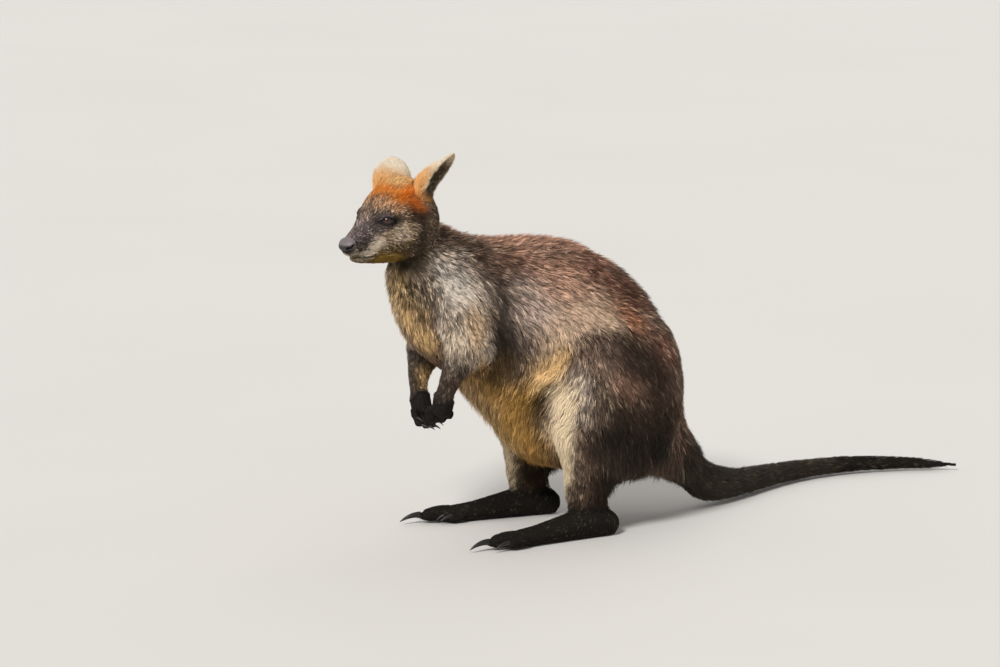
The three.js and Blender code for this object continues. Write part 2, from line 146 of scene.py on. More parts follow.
lamp("key_lamp", 40, 42, 14, KEY_LEVEL)
lamp("fill_lamp", 222, 36, 60, FILL_LEVEL)

# %% [markdown]
# ## Writing finishes as sums
#
# Shader graphs grow fast when they are wired by hand. A small class wraps a socket, so that
# `mask * 0.5 + 1` adds the Math nodes, and one method of a finish makes any other node.

# %% Shader helpers
def linear(red, green, blue):
    """A colour as painters write it, 0 to 255, as the linear RGBA that shaders use."""
    shares = np.array([red, green, blue]) / 255
    values = np.where(shares <= 0.04045, shares / 12.92, ((shares + 0.055) / 1.055) ** 2.4)
    return (*(float(v) for v in values), 1.0)


def plug(tree, slot, value):
    """Sets a socket to a number or colour, or links a wire to it."""
    if isinstance(value, Wire):
        tree.links.new(value.socket, slot)
    else:
        slot.default_value = value


def sum_of(operation, swapped=False):
    """A method of Wire that makes one Math node from the wire and another value."""
    def wired(self, other):
        made = self.tree.nodes.new("ShaderNodeMath")
        made.operation = operation
        pair = (other, self) if swapped else (self, other)
        for slot, value in zip(made.inputs, pair):
            plug(self.tree, slot, value)
        return Wire(self.tree, made.outputs[0])
    return wired


class Wire:
    """A shader value that works in plain arithmetic."""

    def __init__(self, tree, socket):
        self.tree = tree
        self.socket = socket

    __add__ = __radd__ = sum_of("ADD")
    __sub__ = sum_of("SUBTRACT")
    __rsub__ = sum_of("SUBTRACT", swapped=True)
    __mul__ = __rmul__ = sum_of("MULTIPLY")
    __pow__ = sum_of("POWER")
    __gt__ = sum_of("GREATER_THAN")
    __lt__ = sum_of("LESS_THAN")
    at_most = sum_of("MINIMUM")

    def step(self, low, high):
        """Rises smoothly from 0 at low to 1 at high."""
        made = self.tree.nodes.new("ShaderNodeMapRange")
        made.interpolation_type = "SMOOTHSTEP"
        plug(self.tree, made.inputs["Value"], self)
        made.inputs["From Min"].default_value = low
        made.inputs["From Max"].default_value = high
        return Wire(self.tree, made.outputs[0])


class Finish:
    """A material in the making, with one Principled shader whose fixed sockets are set at once."""

    def __init__(self, name, **fixed):
        self.material = bpy.data.materials.new(name)
        self.material.use_nodes = True
        self.tree = self.material.node_tree
        self.shader = self.tree.nodes["Principled BSDF"]
        for socket, value in fixed.items():
            self.feed(socket.replace("_", " "), value)

    def feed(self, socket, value):
        plug(self.tree, self.shader.inputs[socket], value)

    def node(self, kind, settings, sockets, output=0):
        """Any node: its settings first, then its sockets by name or number."""
        made = self.tree.nodes.new("ShaderNode" + kind)
        for key, value in settings.items():
            setattr(made, key, value)
        for key, value in sockets.items():
            plug(self.tree, made.inputs[key], value)
        return Wire(self.tree, made.outputs[output])

    def place(self):
        """Where a point is on the object, in metres."""
        return self.node("TexCoord", {}, {}, "Object")

    def noise(self, scale, detail):
        sockets = {"Vector": self.place(), "Scale": scale, "Detail": detail, "Roughness": 0.55}
        return self.node("TexNoise", {}, sockets)

    def cells(self, scale):
        return self.node("TexVoronoi", {}, {"Vector": self.place(), "Scale": scale})

    def carried(self, name, output="Fac"):
        """A value that the mesh carries at its points, or a colour if the output is Color."""
        return self.node("Attribute", {"attribute_name": name}, {}, output)

    def blend(self, share, first, second):
        """Two colours mixed by a share."""
        return self.node("Mix", {"data_type": "RGBA"}, {0: share, 6: first, 7: second}, 2)

    def brighten(self, colour, gain):
        """A colour times a wire, which a Math node would turn grey."""
        return self.node("VectorMath", {"operation": "SCALE"}, {0: colour, "Scale": gain})

    def bump(self, height, depth, strength):
        sockets = {"Height": height, "Distance": depth, "Strength": strength}
        self.feed("Normal", self.node("Bump", {}, sockets))


# %% Floor and sky
FLOOR_HALF = 30
FLOOR_DROP = 0.0004


def mesh_of(bm, name):
    """A new mesh of what was built."""
    mesh = bpy.data.meshes.new(name)
    bm.to_mesh(mesh)
    bm.free()
    return mesh


floor_finish = Finish("studio_floor", Roughness=0.9)
soft_patches = floor_finish.noise(1.3, 2.0)
paper = floor_finish.blend(soft_patches, linear(212, 208, 202), linear(218, 214, 208))
floor_finish.feed("Base Color", paper)

bm = bmesh.new()
bmesh.ops.create_grid(bm, x_segments=1, y_segments=1, size=FLOOR_HALF)
bmesh.ops.translate(bm, verts=bm.verts, vec=(0, 0, -FLOOR_DROP))
floor = add_object("studio_floor", mesh_of(bm, "studio_floor"))
floor.data.materials.append(floor_finish.material)

world = bpy.data.worlds.new("studio_sky")
bpy.context.scene.world = world
world.use_nodes = True
sky = world.node_tree.nodes["Background"]
sky.inputs["Color"].default_value = linear(250, 250, 250)
rays = world.node_tree.nodes.new("ShaderNodeLightPath")
seen = Wire(world.node_tree, rays.outputs["Is Camera Ray"])
plug(world.node_tree, sky.inputs["Strength"], seen * (0.95 - SKY_LEVEL) + SKY_LEVEL)
print("studio is lit: key", KEY_LEVEL, "fill", FILL_LEVEL, "sky", SKY_LEVEL)

# %% [markdown]
# ## Two rulers on the animal
#
# Markings and the lie of the hair are the same on both sides, so places are given for the left
# side only. The body ruler gives side, along and height from the middle of the chest node. The
# head is turned a little, so it has a ruler of its own, laid through the two eyes.

# %% Rulers
def unit(*parts):
    """The direction of one vector."""
    return np.array(parts) / np.linalg.norm(parts)


def mirrored(spots):
    """The same places on the left side."""
    return np.column_stack([np.abs(spots[:, 0]), spots[:, 1:]])


def box_centre(name):
    low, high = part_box(name)
    return np.array((low + high) / 2)


left_eye = box_centre("eye_left")
right_eye = box_centre("eye_right")
eyes_middle = (left_eye + right_eye) / 2
head_side = left_eye - right_eye
head_side = unit(head_side[0], head_side[1], 0)
head_ahead = np.array([head_side[1], -head_side[0], 0.0])
head_axes = np.stack([head_side, head_ahead, np.array([0.0, 0.0, 1.0])])
body_middle = box_centre("chest")[0]
leg_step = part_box("thigh_left")[0].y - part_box("thigh_right")[0].y
arm_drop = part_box("forearm_left")[0].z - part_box("forearm_right")[0].z
SIDES = {"left": np.array([1, 1, 1]), "right": np.array([-1, 1, 1])}
FAR_LEG = ("thigh_right", "shank_right", "foot_right")
FAR_ARM = ("upper_arm_right", "forearm_right", "hand_right")


def on_head(points):
    """Side, ahead and up from between the eyes, in millimetres."""
    return (points - eyes_middle) @ head_axes.T / MM


def from_head(spots):
    """Places on the head's ruler, in metres in the frame."""
    return eyes_middle + spots @ head_axes * MM


def on_body(points, owners):
    """Side, along and height in millimetres, as on the left side. Owners are numbers in flesh."""
    ruler = (points - np.array([body_middle, 0, 0])) / MM
    names = np.array(flesh)[owners]
    far = ruler[:, 0] < 0
    ruler[:, 1] += np.where(far & np.isin(names, FAR_LEG), leg_step / MM, 0)
    ruler[:, 2] += np.where(far & np.isin(names, FAR_ARM), arm_drop / MM, 0)
    return mirrored(ruler)


print("eyes at", left_eye, right_eye)
print("far leg is", leg_step / MM, "mm ahead, far arm", arm_drop / MM)

# %% [markdown]
# ## One skin
#
# A living animal has one skin from nose to tail. The CAD model is built of parts that meet with a
# hair's breadth between them, so the flesh parts are gathered, fused by a voxel remesh finer than
# that gap allows, thinned on the trunk where nothing is small, and smoothed until the facets are
# gone. The eyeballs are fused in too, to give the lids a surface to be shaped from. Then the whole
# surface is drawn in by the depth of the coat, because the CAD model shows the animal out to the
# tips of its hair.

# %% Coat by body part
# For each part: coat depth, lock length and lock width in millimetres, and locks to the square
# centimetre.
COAT = {
    "head": (2.0, 6.0, 0.75, 130), "nose": (0.9, 2.8, 0.5, 110), "jaw": (1.8, 6.0, 0.7, 110),
    "neck": (6.0, 14, 1.0, 72), "chest": (7.0, 16, 1.05, 62), "rump": (7.5, 16, 1.05, 60),
    "tail_base": (5.5, 15, 1.2, 48), "tail_middle": (4.0, 12, 1.1, 50), "tail_tip": (3.0, 10, 1.0, 55),
    "upper_arm": (5.5, 13, 1.0, 62), "forearm": (2.6, 8, 0.85, 78), "hand": (0.25, 2.6, 0.45, 90),
    "thigh": (7.0, 16, 1.05, 62), "shank": (4.5, 12, 1.0, 58), "foot": (0.8, 4.6, 0.8, 60),
    "ear": (0.7, 3.4, 0.5, 130),
}
flesh = [name for name in nodes if not name.startswith(("eye", "claw", "ear"))]


def kind_of(name):
    """The part without its side, such as thigh for thigh_left."""
    return name.replace("_left", "").replace("_right", "")


# %% Mesh helpers
def read_points(mesh, what="co"):
    """The mesh's points, or their normals if what is vector, as an array."""
    found = np.empty(len(mesh.vertices) * 3, np.float32)
    source = mesh.vertices if what == "co" else mesh.vertex_normals
    source.foreach_get(what, found)
    return found.reshape(-1, 3).astype(float)


def write_points(mesh, points):
    mesh.vertices.foreach_set("co", points.astype(np.float32).ravel())
    mesh.update()


def edge_ends(mesh):
    found = np.empty(len(mesh.edges) * 2, np.int32)
    mesh.edges.foreach_get("vertices", found)
    return found.reshape(-1, 2)


def blurred(values, ends, times, share=0.5):
    """Values at the points, each drawn towards the mean of its neighbours, times over."""
    count = len(values)
    degree = np.bincount(ends.ravel(), minlength=count).clip(1)
    columns = values.reshape(count, -1).copy()
    shares = np.broadcast_to(share, (count,))
    for _ in range(times):
        for column in columns.T:
            near = np.bincount(ends[:, 0], column[ends[:, 1]], count)
            near += np.bincount(ends[:, 1], column[ends[:, 0]], count)
            column += shares * (near / degree - column)
    return columns.reshape(values.shape)


def unit_rows(rows):
    return rows / np.linalg.norm(rows, axis=-1, keepdims=True)


def opened(*meshes):
    """These meshes in one, open to be worked on."""
    bm = bmesh.new()
    for mesh in meshes:
        bm.from_mesh(mesh)
    return bm


def closed(bm, mesh):
    """Writes what was worked on to the mesh, in triangles."""
    bmesh.ops.triangulate(bm, faces=bm.faces)
    bm.to_mesh(mesh)
    bm.free()


def merged(names):
    """One mesh of these CAD nodes, with their loose triangles joined."""
    bm = opened(*(nodes[name].data for name in names))
    bmesh.ops.remove_doubles(bm, verts=bm.verts, dist=1e-6)
    return mesh_of(bm, "gathered")


def with_modifier(mesh, kind, groups=None, **settings):
    """The mesh as a modifier leaves it."""
    helper = add_object("helper", mesh)
    for group_name, weights in (groups or {}).items():
        group = helper.vertex_groups.new(name=group_name)
        for weight in np.unique(weights):
            group.add(np.flatnonzero(weights == weight).tolist(), float(weight), "REPLACE")
    modifier = helper.modifiers.new(kind.lower(), kind)
    for key, value in settings.items():
        setattr(modifier, key, value)
    ready = helper.evaluated_get(bpy.context.evaluated_depsgraph_get())
    made = bpy.data.meshes.new_from_object(ready)
    bpy.data.objects.remove(helper)
    return made


def shade_smooth(mesh):
    mesh.polygons.foreach_set("use_smooth", np.ones(len(mesh.polygons), bool))


def shown(name, mesh, finish, stands_for=()):
    """A finished piece: it rides on the body, and the CAD nodes it stands for are hidden."""
    shade_smooth(mesh)
    mesh.materials.clear()
    mesh.materials.append(finish.material)
    piece = add_object(name, mesh)
    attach(piece, "root")
    if stands_for:
        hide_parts(*stands_for)
    print(name, "has", len(mesh.polygons), "faces")
    return piece


# %% Which part a place belongs to
def part_finder(names):
    """A tree over these nodes' faces, and the node that each face comes from."""
    bm = bmesh.new()
    owners = []
    for number, name in enumerate(names):
        bm.from_mesh(nodes[name].data)
        owners += [number] * (len(bm.faces) - len(owners))
    return BVHTree.FromBMesh(bm), np.array(owners)


flesh_tree, face_owner = part_finder(flesh)


def parts_at(points):
    """The number in flesh of the node nearest to each point."""
    return face_owner[[flesh_tree.find_nearest(point)[2] for point in points.tolist()]]


# %% Fuse, thin and smooth
SKIN_VOXEL = 0.0017
KEPT_SHARE = 0.27
FINE_PARTS = ("head", "jaw", "nose", "hand", "foot")
kinds = np.array([kind_of(name) for name in flesh])


def fineness(owners):
    """1 where a part has small shapes, 0 elsewhere. Owners are numbers in flesh."""
    return np.isin(kinds[owners], FINE_PARTS).astype(float)


gathered = merged(flesh + ["eye_left", "eye_right"])
skin_mesh = with_modifier(gathered, "REMESH", mode="VOXEL", voxel_size=SKIN_VOXEL)
fine = fineness(parts_at(read_points(skin_mesh)))
print("fused skin:", len(fine), "points,", int(fine.sum()), "of them on head, hands and feet")

spare = blurred(1 - fine, edge_ends(skin_mesh), 6).round(1)
thinning = {"ratio": KEPT_SHARE, "vertex_group": "spare"}
skin_mesh = with_modifier(skin_mesh, "DECIMATE", {"spare": spare}, **thinning)
print("thinned skin:", len(skin_mesh.vertices), "points at", seconds(), "s")

# %% Keep the outer shell only
def outer_shell(mesh):
    """Removes whatever the fusing left inside: all but the largest connected piece."""
    bm = opened(mesh)
    unseen = set(bm.verts)
    shells = []
    while unseen:
        front = [unseen.pop()]
        shell = list(front)
        while front:
            near = [edge.other_vert(vert) for vert in front for edge in vert.link_edges]
            front = list({vert for vert in near if vert in unseen})
            unseen.difference_update(front)
            shell += front
        shells.append(shell)
    shells.sort(key=len)
    for shell in shells[:-1]:
        bmesh.ops.delete(bm, geom=shell, context="VERTS")
    closed(bm, mesh)
    return len(shells)


print("shells found:", outer_shell(skin_mesh), "triangles left:", len(skin_mesh.polygons))

# %% Smooth the facets away and draw the skin in
HAND_RAISED = 1.1 * MM
points = read_points(skin_mesh)
ends = edge_ends(skin_mesh)
owner = parts_at(points)
calm = np.clip(blurred(1 - fineness(owner), ends, 10), 0.0, 1)
points = blurred(points, ends, 2, 0.3)
points = blurred(points, ends, 40, 0.5 * calm ** 2)
coat_depth = np.array([COAT[kind][0] for kind in kinds[owner]]) * MM
coat_depth = blurred(coat_depth, ends, 12)
coat_depth -= blurred((kinds[owner] == "hand").astype(float), ends, 4) * HAND_RAISED
write_points(skin_mesh, points)
for _ in range(3):
    inward = unit_rows(blurred(read_points(skin_mesh, "vector"), ends, 4))
    points = points - inward * coat_depth[:, None] / 3
    points = blurred(points, ends, 1, 0.4 * calm)
    write_points(skin_mesh, points)
print("skin drawn in by", coat_depth.min() / MM, "to", coat_depth.max() / MM, "mm")

# %% [markdown]
# ## The face
#
# Lids, lips and the groove under the nose are soft folds, so they are pushed into the skin where
# it is first given finer faces. All of it is written on the head's own ruler for the left side and
# applied to both. The lids hug the eyeball: a place near the eye is named by its distance from the
# slit between the lids, and that distance says how far from the ball's centre the skin lies.

# %% Finer faces round the eyes, nose and mouth
def head_spot(name):
    """The middle of a CAD node on the head's ruler."""
    return on_head(box_centre(name)[None])[0]


def refine(mesh, near):
    """Splits every edge whose two ends are both near."""
    chosen = near(on_head(read_points(mesh)))
    bm = opened(mesh)
    edges = [edge for edge in bm.edges if all(chosen[vert.index] for vert in edge.verts)]
    bmesh.ops.subdivide_edges(bm, edges=edges, cuts=1)
    closed(bm, mesh)


def about_eyes(reach):
    """Chooses places within this reach, in millimetres, of either eyeball's centre."""
    centre = head_spot("eye_left")
    return lambda spots: np.linalg.norm(mirrored(spots) - centre, axis=1) < reach


def about_muzzle(spots):
    """Chooses the lips and the nose."""
    return (spots[:, 1] > 2) & (spots[:, 2] < -28) & (np.abs(spots[:, 0]) < 30)


for near_place in (about_muzzle, about_eyes(21), about_eyes(17)):
    refine(skin_mesh, near_place)
print("skin has", len(skin_mesh.polygons), "triangles")

# %% Sculpt the lids
EYE_RADIUS = (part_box("eye_left")[1].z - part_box("eye_left")[0].z) / 2 / MM
EYE_SINK = 3.2
SLIT_HALF = 8.8
UPPER_LID = 3.7
LOWER_LID = 3.0
NOT_ON_BALL = 30.0


def smooth_step(values, low, high):
    share = np.clip((values - low) / (high - low), 0, 1)
    return share * share * (3 - 2 * share)


def bell(values, width, power=2):
    """1 where the values are zero, falling to nothing a few widths off."""
    return np.exp(-(values / width) ** power)


LOOK = unit(0.85, 0.5, 0.08)
EYE_PLACE = head_spot("eye_left") - LOOK * EYE_SINK
forward = np.array([0.0, 1.0, 0.05])
level_line = unit(*(forward - LOOK * (LOOK @ forward)))
lid_rise = np.cross(LOOK, level_line)


def slit_places(spots):
    """Along the slit between the lids, up from it, outside it, and from the ball's centre.

    All four are in millimetres, the first three of them over the eyeball.
    """
    offset = mirrored(spots) - EYE_PLACE
    reach = np.linalg.norm(offset, axis=1)
    facing = np.maximum(offset @ LOOK, 0.05 * reach)
    along = EYE_RADIUS * np.arctan2(offset @ level_line, facing)
    rise = EYE_RADIUS * np.arctan2(offset @ lid_rise, facing)
    taper = np.clip(1 - (np.abs(along) / SLIT_HALF) ** 2.3, 0, 1)
    outside = np.maximum(rise - UPPER_LID * taper, -LOWER_LID * taper - rise)
    outside = np.maximum(outside, np.abs(along) - SLIT_HALF)
    outside = np.where(offset @ LOOK > 0.25 * reach, outside, NOT_ON_BALL)
    return along, rise, outside, reach


def sculpt_lids(spots):
    _, rise, outside, reach = slit_places(spots)
    above = rise > 0
    lid = EYE_RADIUS + 1.15 + 0.10 * outside
    lid += 0.3 * bell(outside - 0.8, 0.8)
    lid -= np.where(above, 0.7, 0.4) * bell(outside - np.where(above, 3.0, 2.8), 0.7)
    lid += np.where(above, 0.6, 0.2) * bell(outside - 5.0, 1.3)
    hug = 1 - smooth_step(outside, 3.0, 8.5)
    wanted = reach + (lid - reach) * hug
    wanted = np.maximum(wanted, EYE_RADIUS + 0.9)
    inside = 1 - smooth_step(outside, -0.75, 0.15)
    wanted = wanted + (EYE_RADIUS - 1.8 - wanted) * inside
    near = (reach < 22) & (outside < 12)
    gain = np.where(near, wanted / reach, 1.0)
    centre = np.where(spots[:, :1] < 0, EYE_PLACE * SIDES["right"], EYE_PLACE)
    return centre + (spots - centre) * gain[:, None]


# %% Sculpt lips, chin and whisker pads
NOSTRIL = [(9.5, 46.2, -34.0), (12.2, 44.6, -33.4), (14.2, 42.8, -31.6), (14.6, 41.0, -29.6)]
NOSE_SUNK = 3.5
NOSTRIL_SUNK = 3.0


def lip_line(ahead):
    """The height of the line between the lips: nearly level, rising at the corner of the mouth."""
    return -46.5 + 4.5 * smooth_step(-ahead, -17, -4) + 1.2 * smooth_step(ahead, 34, 43)


def sculpt_mouth(spots, normals):
    side, ahead, up = np.abs(spots[:, 0]), spots[:, 1], spots[:, 2]
    from_line = up - lip_line(ahead)
    mouth = smooth_step(ahead, 3, 8) * smooth_step(side, 1.0, 4.0) * (up > -60)
    push = -1.1 * mouth * bell(from_line, 0.7)
    push += 0.5 * mouth * bell(from_line - 2.6, 1.8)
    push += 0.4 * mouth * bell(from_line + 2.2, 1.5)
    under_nose = smooth_step(ahead, 34, 40) * smooth_step(-up, 36, 39) * (up > -48)
    push -= 0.9 * under_nose * bell(side, 0.9)
    pad = np.linalg.norm(mirrored(spots) - (13, 31, -38), axis=1)
    push += 0.9 * bell(pad, 6.5)
    return spots + normals * push[:, None]


def stroke_distance(places, path):
    """How far each place is from a line through the path's points."""
    path = np.array(path, float)
    if len(path) == 1:
        return np.linalg.norm(places - path[0], axis=1)
    nearest = np.full(len(places), np.inf)
    for start, end in zip(path[:-1], path[1:]):
        run = end - start
        share = np.clip((places - start) @ run / (run @ run), 0, 1)
        gap = np.linalg.norm(places - start - share[:, None] * run, axis=1)
        nearest = np.minimum(nearest, gap)
    return nearest


def nostril_distance(spots):
    """Millimetres from the curved line along which a nostril opens."""
    return stroke_distance(mirrored(spots), NOSTRIL)


def pad_distance(spots):
    """1 at the edge of the bare nose pad, less inside it."""
    offset = mirrored(spots) - nose_middle - (0, 3.0, 1.0)
    return np.linalg.norm(offset / (12.5, 9.5, 9.0), axis=1)


points = read_points(skin_mesh)
ends = edge_ends(skin_mesh)
near_face = about_muzzle(on_head(points)) | about_eyes(20)(on_head(points))
points = blurred(points, ends, 3, 0.5 * near_face)
write_points(skin_mesh, points)
head_normals = blurred(read_points(skin_mesh, "vector"), ends, 2) @ head_axes.T
nose_middle = head_spot("nose")
spots = on_head(points)
sunk = NOSE_SUNK * (1 - smooth_step(pad_distance(spots), 0.7, 1.0))
sunk = np.maximum(sunk, NOSTRIL_SUNK * bell(nostril_distance(spots), 2.4, 4))
spots = spots - head_normals * sunk[:, None]
spots = sculpt_lids(sculpt_mouth(spots, head_normals))
write_points(skin_mesh, from_head(spots))
for _ in range(2):
    _, _, outside_slit, from_ball = slit_places(spots)
    around = smooth_step(outside_slit, 3.5, 7.5) * (1 - smooth_step(from_ball, 17, 27))
    spots = blurred(spots, ends, 10, 0.5 * around)
write_points(skin_mesh, from_head(spots))
print("lids and lips are in, at", seconds(), "s")

# %% [markdown]
# ## The ears
#
# An ear is a thin rolled leaf. It would vanish in the voxel remesh, so each CAD leaf is smoothed
# with a subdivision surface instead and joined to the skin, its foot sunk in the crown. Its own
# ruler runs from the foot to the tip and ahead across the leaf, and tells the hollow side from the
# back.

# %% Ear rulers and leaves
class EarRuler:
    """Along an ear from foot to tip, ahead of its middle line, and out of its hollow side."""

    def __init__(self, name):
        points = read_points(nodes[name].data)
        self.middle = points.mean(0)
        axes = np.linalg.svd(points - self.middle, full_matrices=False)[2]
        self.long = axes[0] * np.sign(axes[0][2])
        self.forward = axes[1] * np.sign(axes[1] @ head_ahead)
        self.open = axes[2]
        along = (points - self.middle) @ self.long
        self.foot = along.min()
        self.length = np.ptp(along)
        sideways = np.abs((points - self.middle) @ axes[1])
        self.half = sideways.max()
        heights = (points - self.middle) @ self.open
        rims = sideways > 0.7 * self.half
        if heights[rims].mean() < heights[~rims].mean():
            self.open = -self.open

    def along(self, points):
        """A share of the ear's length."""
        return ((points - self.middle) @ self.long - self.foot) / self.length

    def ahead(self, points):
        """A share of the ear's half width."""
        return (points - self.middle) @ self.forward / self.half


ear_rulers = {name: EarRuler(name) for name in ("ear_left", "ear_right")}
bm = opened(skin_mesh)
body_points = len(bm.verts)
in_ear = {}
hollow_side = []
for ear_name, ruler in ear_rulers.items():
    leaf = with_modifier(merged([ear_name]), "SUBSURF", levels=2, render_levels=2)
    in_ear[ear_name] = slice(len(bm.verts), len(bm.verts) + len(leaf.vertices))
    bm.from_mesh(leaf)
    leaf_places = [vert.co for vert in leaf.vertices]
    leaf_tree = BVHTree.FromPolygons(leaf_places, [face.vertices[:] for face in leaf.polygons])
    for vert in leaf.vertices:
        outside_leaf = vert.co + vert.normal * 0.0008
        across_leaf = leaf_tree.ray_cast(outside_leaf, vert.normal, 0.04)[0]
        faces_open = vert.normal.dot(Vector(ruler.open)) > 0.5
        hollow_side.append(across_leaf is not None or faces_open)
closed(bm, skin_mesh)
print("skin with ears:", len(skin_mesh.polygons), "triangles; an ear is",
      round(ear_rulers["ear_left"].length / MM), "mm long")


# %% [markdown]
# ## Markings
#
# The same paint goes on the skin and on the roots of the hairs, so it is a function of place. It
# starts from one brown and lays soft strokes over it in order, each a line on a ruler with a
# reach. Swamp wallabies are dark brown and grizzled, with a rufous crown, a pale cheek stripe,
# black hands and feet and a straw to golden underside.
# Some strokes paint light and shade instead of markings: painted shadow under the jaw, behind the arm and
# under the nose, painted shade in the folds, and painted highlights on the lit top of the back, the front
# edges of chest and belly, the cheek and the top of the nose pad.

# %% The paints
PAINTS = {
    # greys and browns of the trunk
    "umber": (96, 78, 66), "nape": (76, 58, 47), "back": (162, 121, 99), "tan": (146, 118, 100),
    "russet": (154, 116, 96), "chestnut": (98, 65, 52), "bay": (80, 52, 41), "dun": (172, 134, 112),
    "pewter": (174, 153, 139), "flank": (106, 90, 81), "slate": (54, 46, 41),
    "rufous": (138, 92, 66), "pale_hip": (210, 180, 152),
    "silver": (192, 182, 170), "ash": (176, 160, 144), "drab": (104, 90, 75), "dove": (190, 171, 148),
    "wheat": (172, 143, 108), "tail": (44, 38, 30), "sable": (39, 28, 20), "soot": (24, 20, 15),
    # the pale and golden underside
    # throat: the throat's dark gold with painted shadow from the jaw in it
    "cream": (252, 228, 190), "straw": (176, 146, 104), "gold": (224, 184, 128), "honey": (136, 102, 50),
    "amber": (166, 126, 66), "bronze": (64, 48, 22), "olive": (100, 81, 50), "throat": (50, 39, 18),
    # the head
    "temple": (92, 75, 60), "bridge": (148, 130, 126), "plum": (88, 77, 76), "brow": (118, 97, 82),
    "sandy": (184, 138, 100), "charcoal": (62, 53, 52), "lid": (22, 18, 18), "cheek": (218, 201, 180),
    "grey": (154, 132, 108), "lip": (112, 98, 91), "chin": (112, 97, 76), "moss": (104, 78, 20),
    # lid_edge: pinkish-grey lid skin with a painted sheen
    "lid_edge": (112, 96, 100),
    "orange": (184, 110, 42), "flame": (172, 84, 8), "rust": (112, 62, 27), "marigold": (238, 184, 116),
    "apricot": (218, 158, 94), "ginger": (222, 184, 138), "bone": (222, 206, 182), "black": (26, 22, 20),
}
paint_values = {name: np.array(linear(*value)[:3]) for name, value in PAINTS.items()}

# %% Folds of the skin: places are (side, along, height) on the body's ruler
NECK_FOLDS = [
    [(15, -399, 366), (28, -391, 366), (37, -378, 367)],
    [(19, -401, 358), (30, -392, 360), (36, -382, 357)],
    [(26, -397, 350), (34, -387, 347), (39, -378, 351)],
    [(33, -389, 336), (38, -382, 333), (43, -374, 330)],
]
FLANK_FOLD = [(84, -226, 203), (79, -227, 191), (67, -224, 178), (60, -226, 164)]

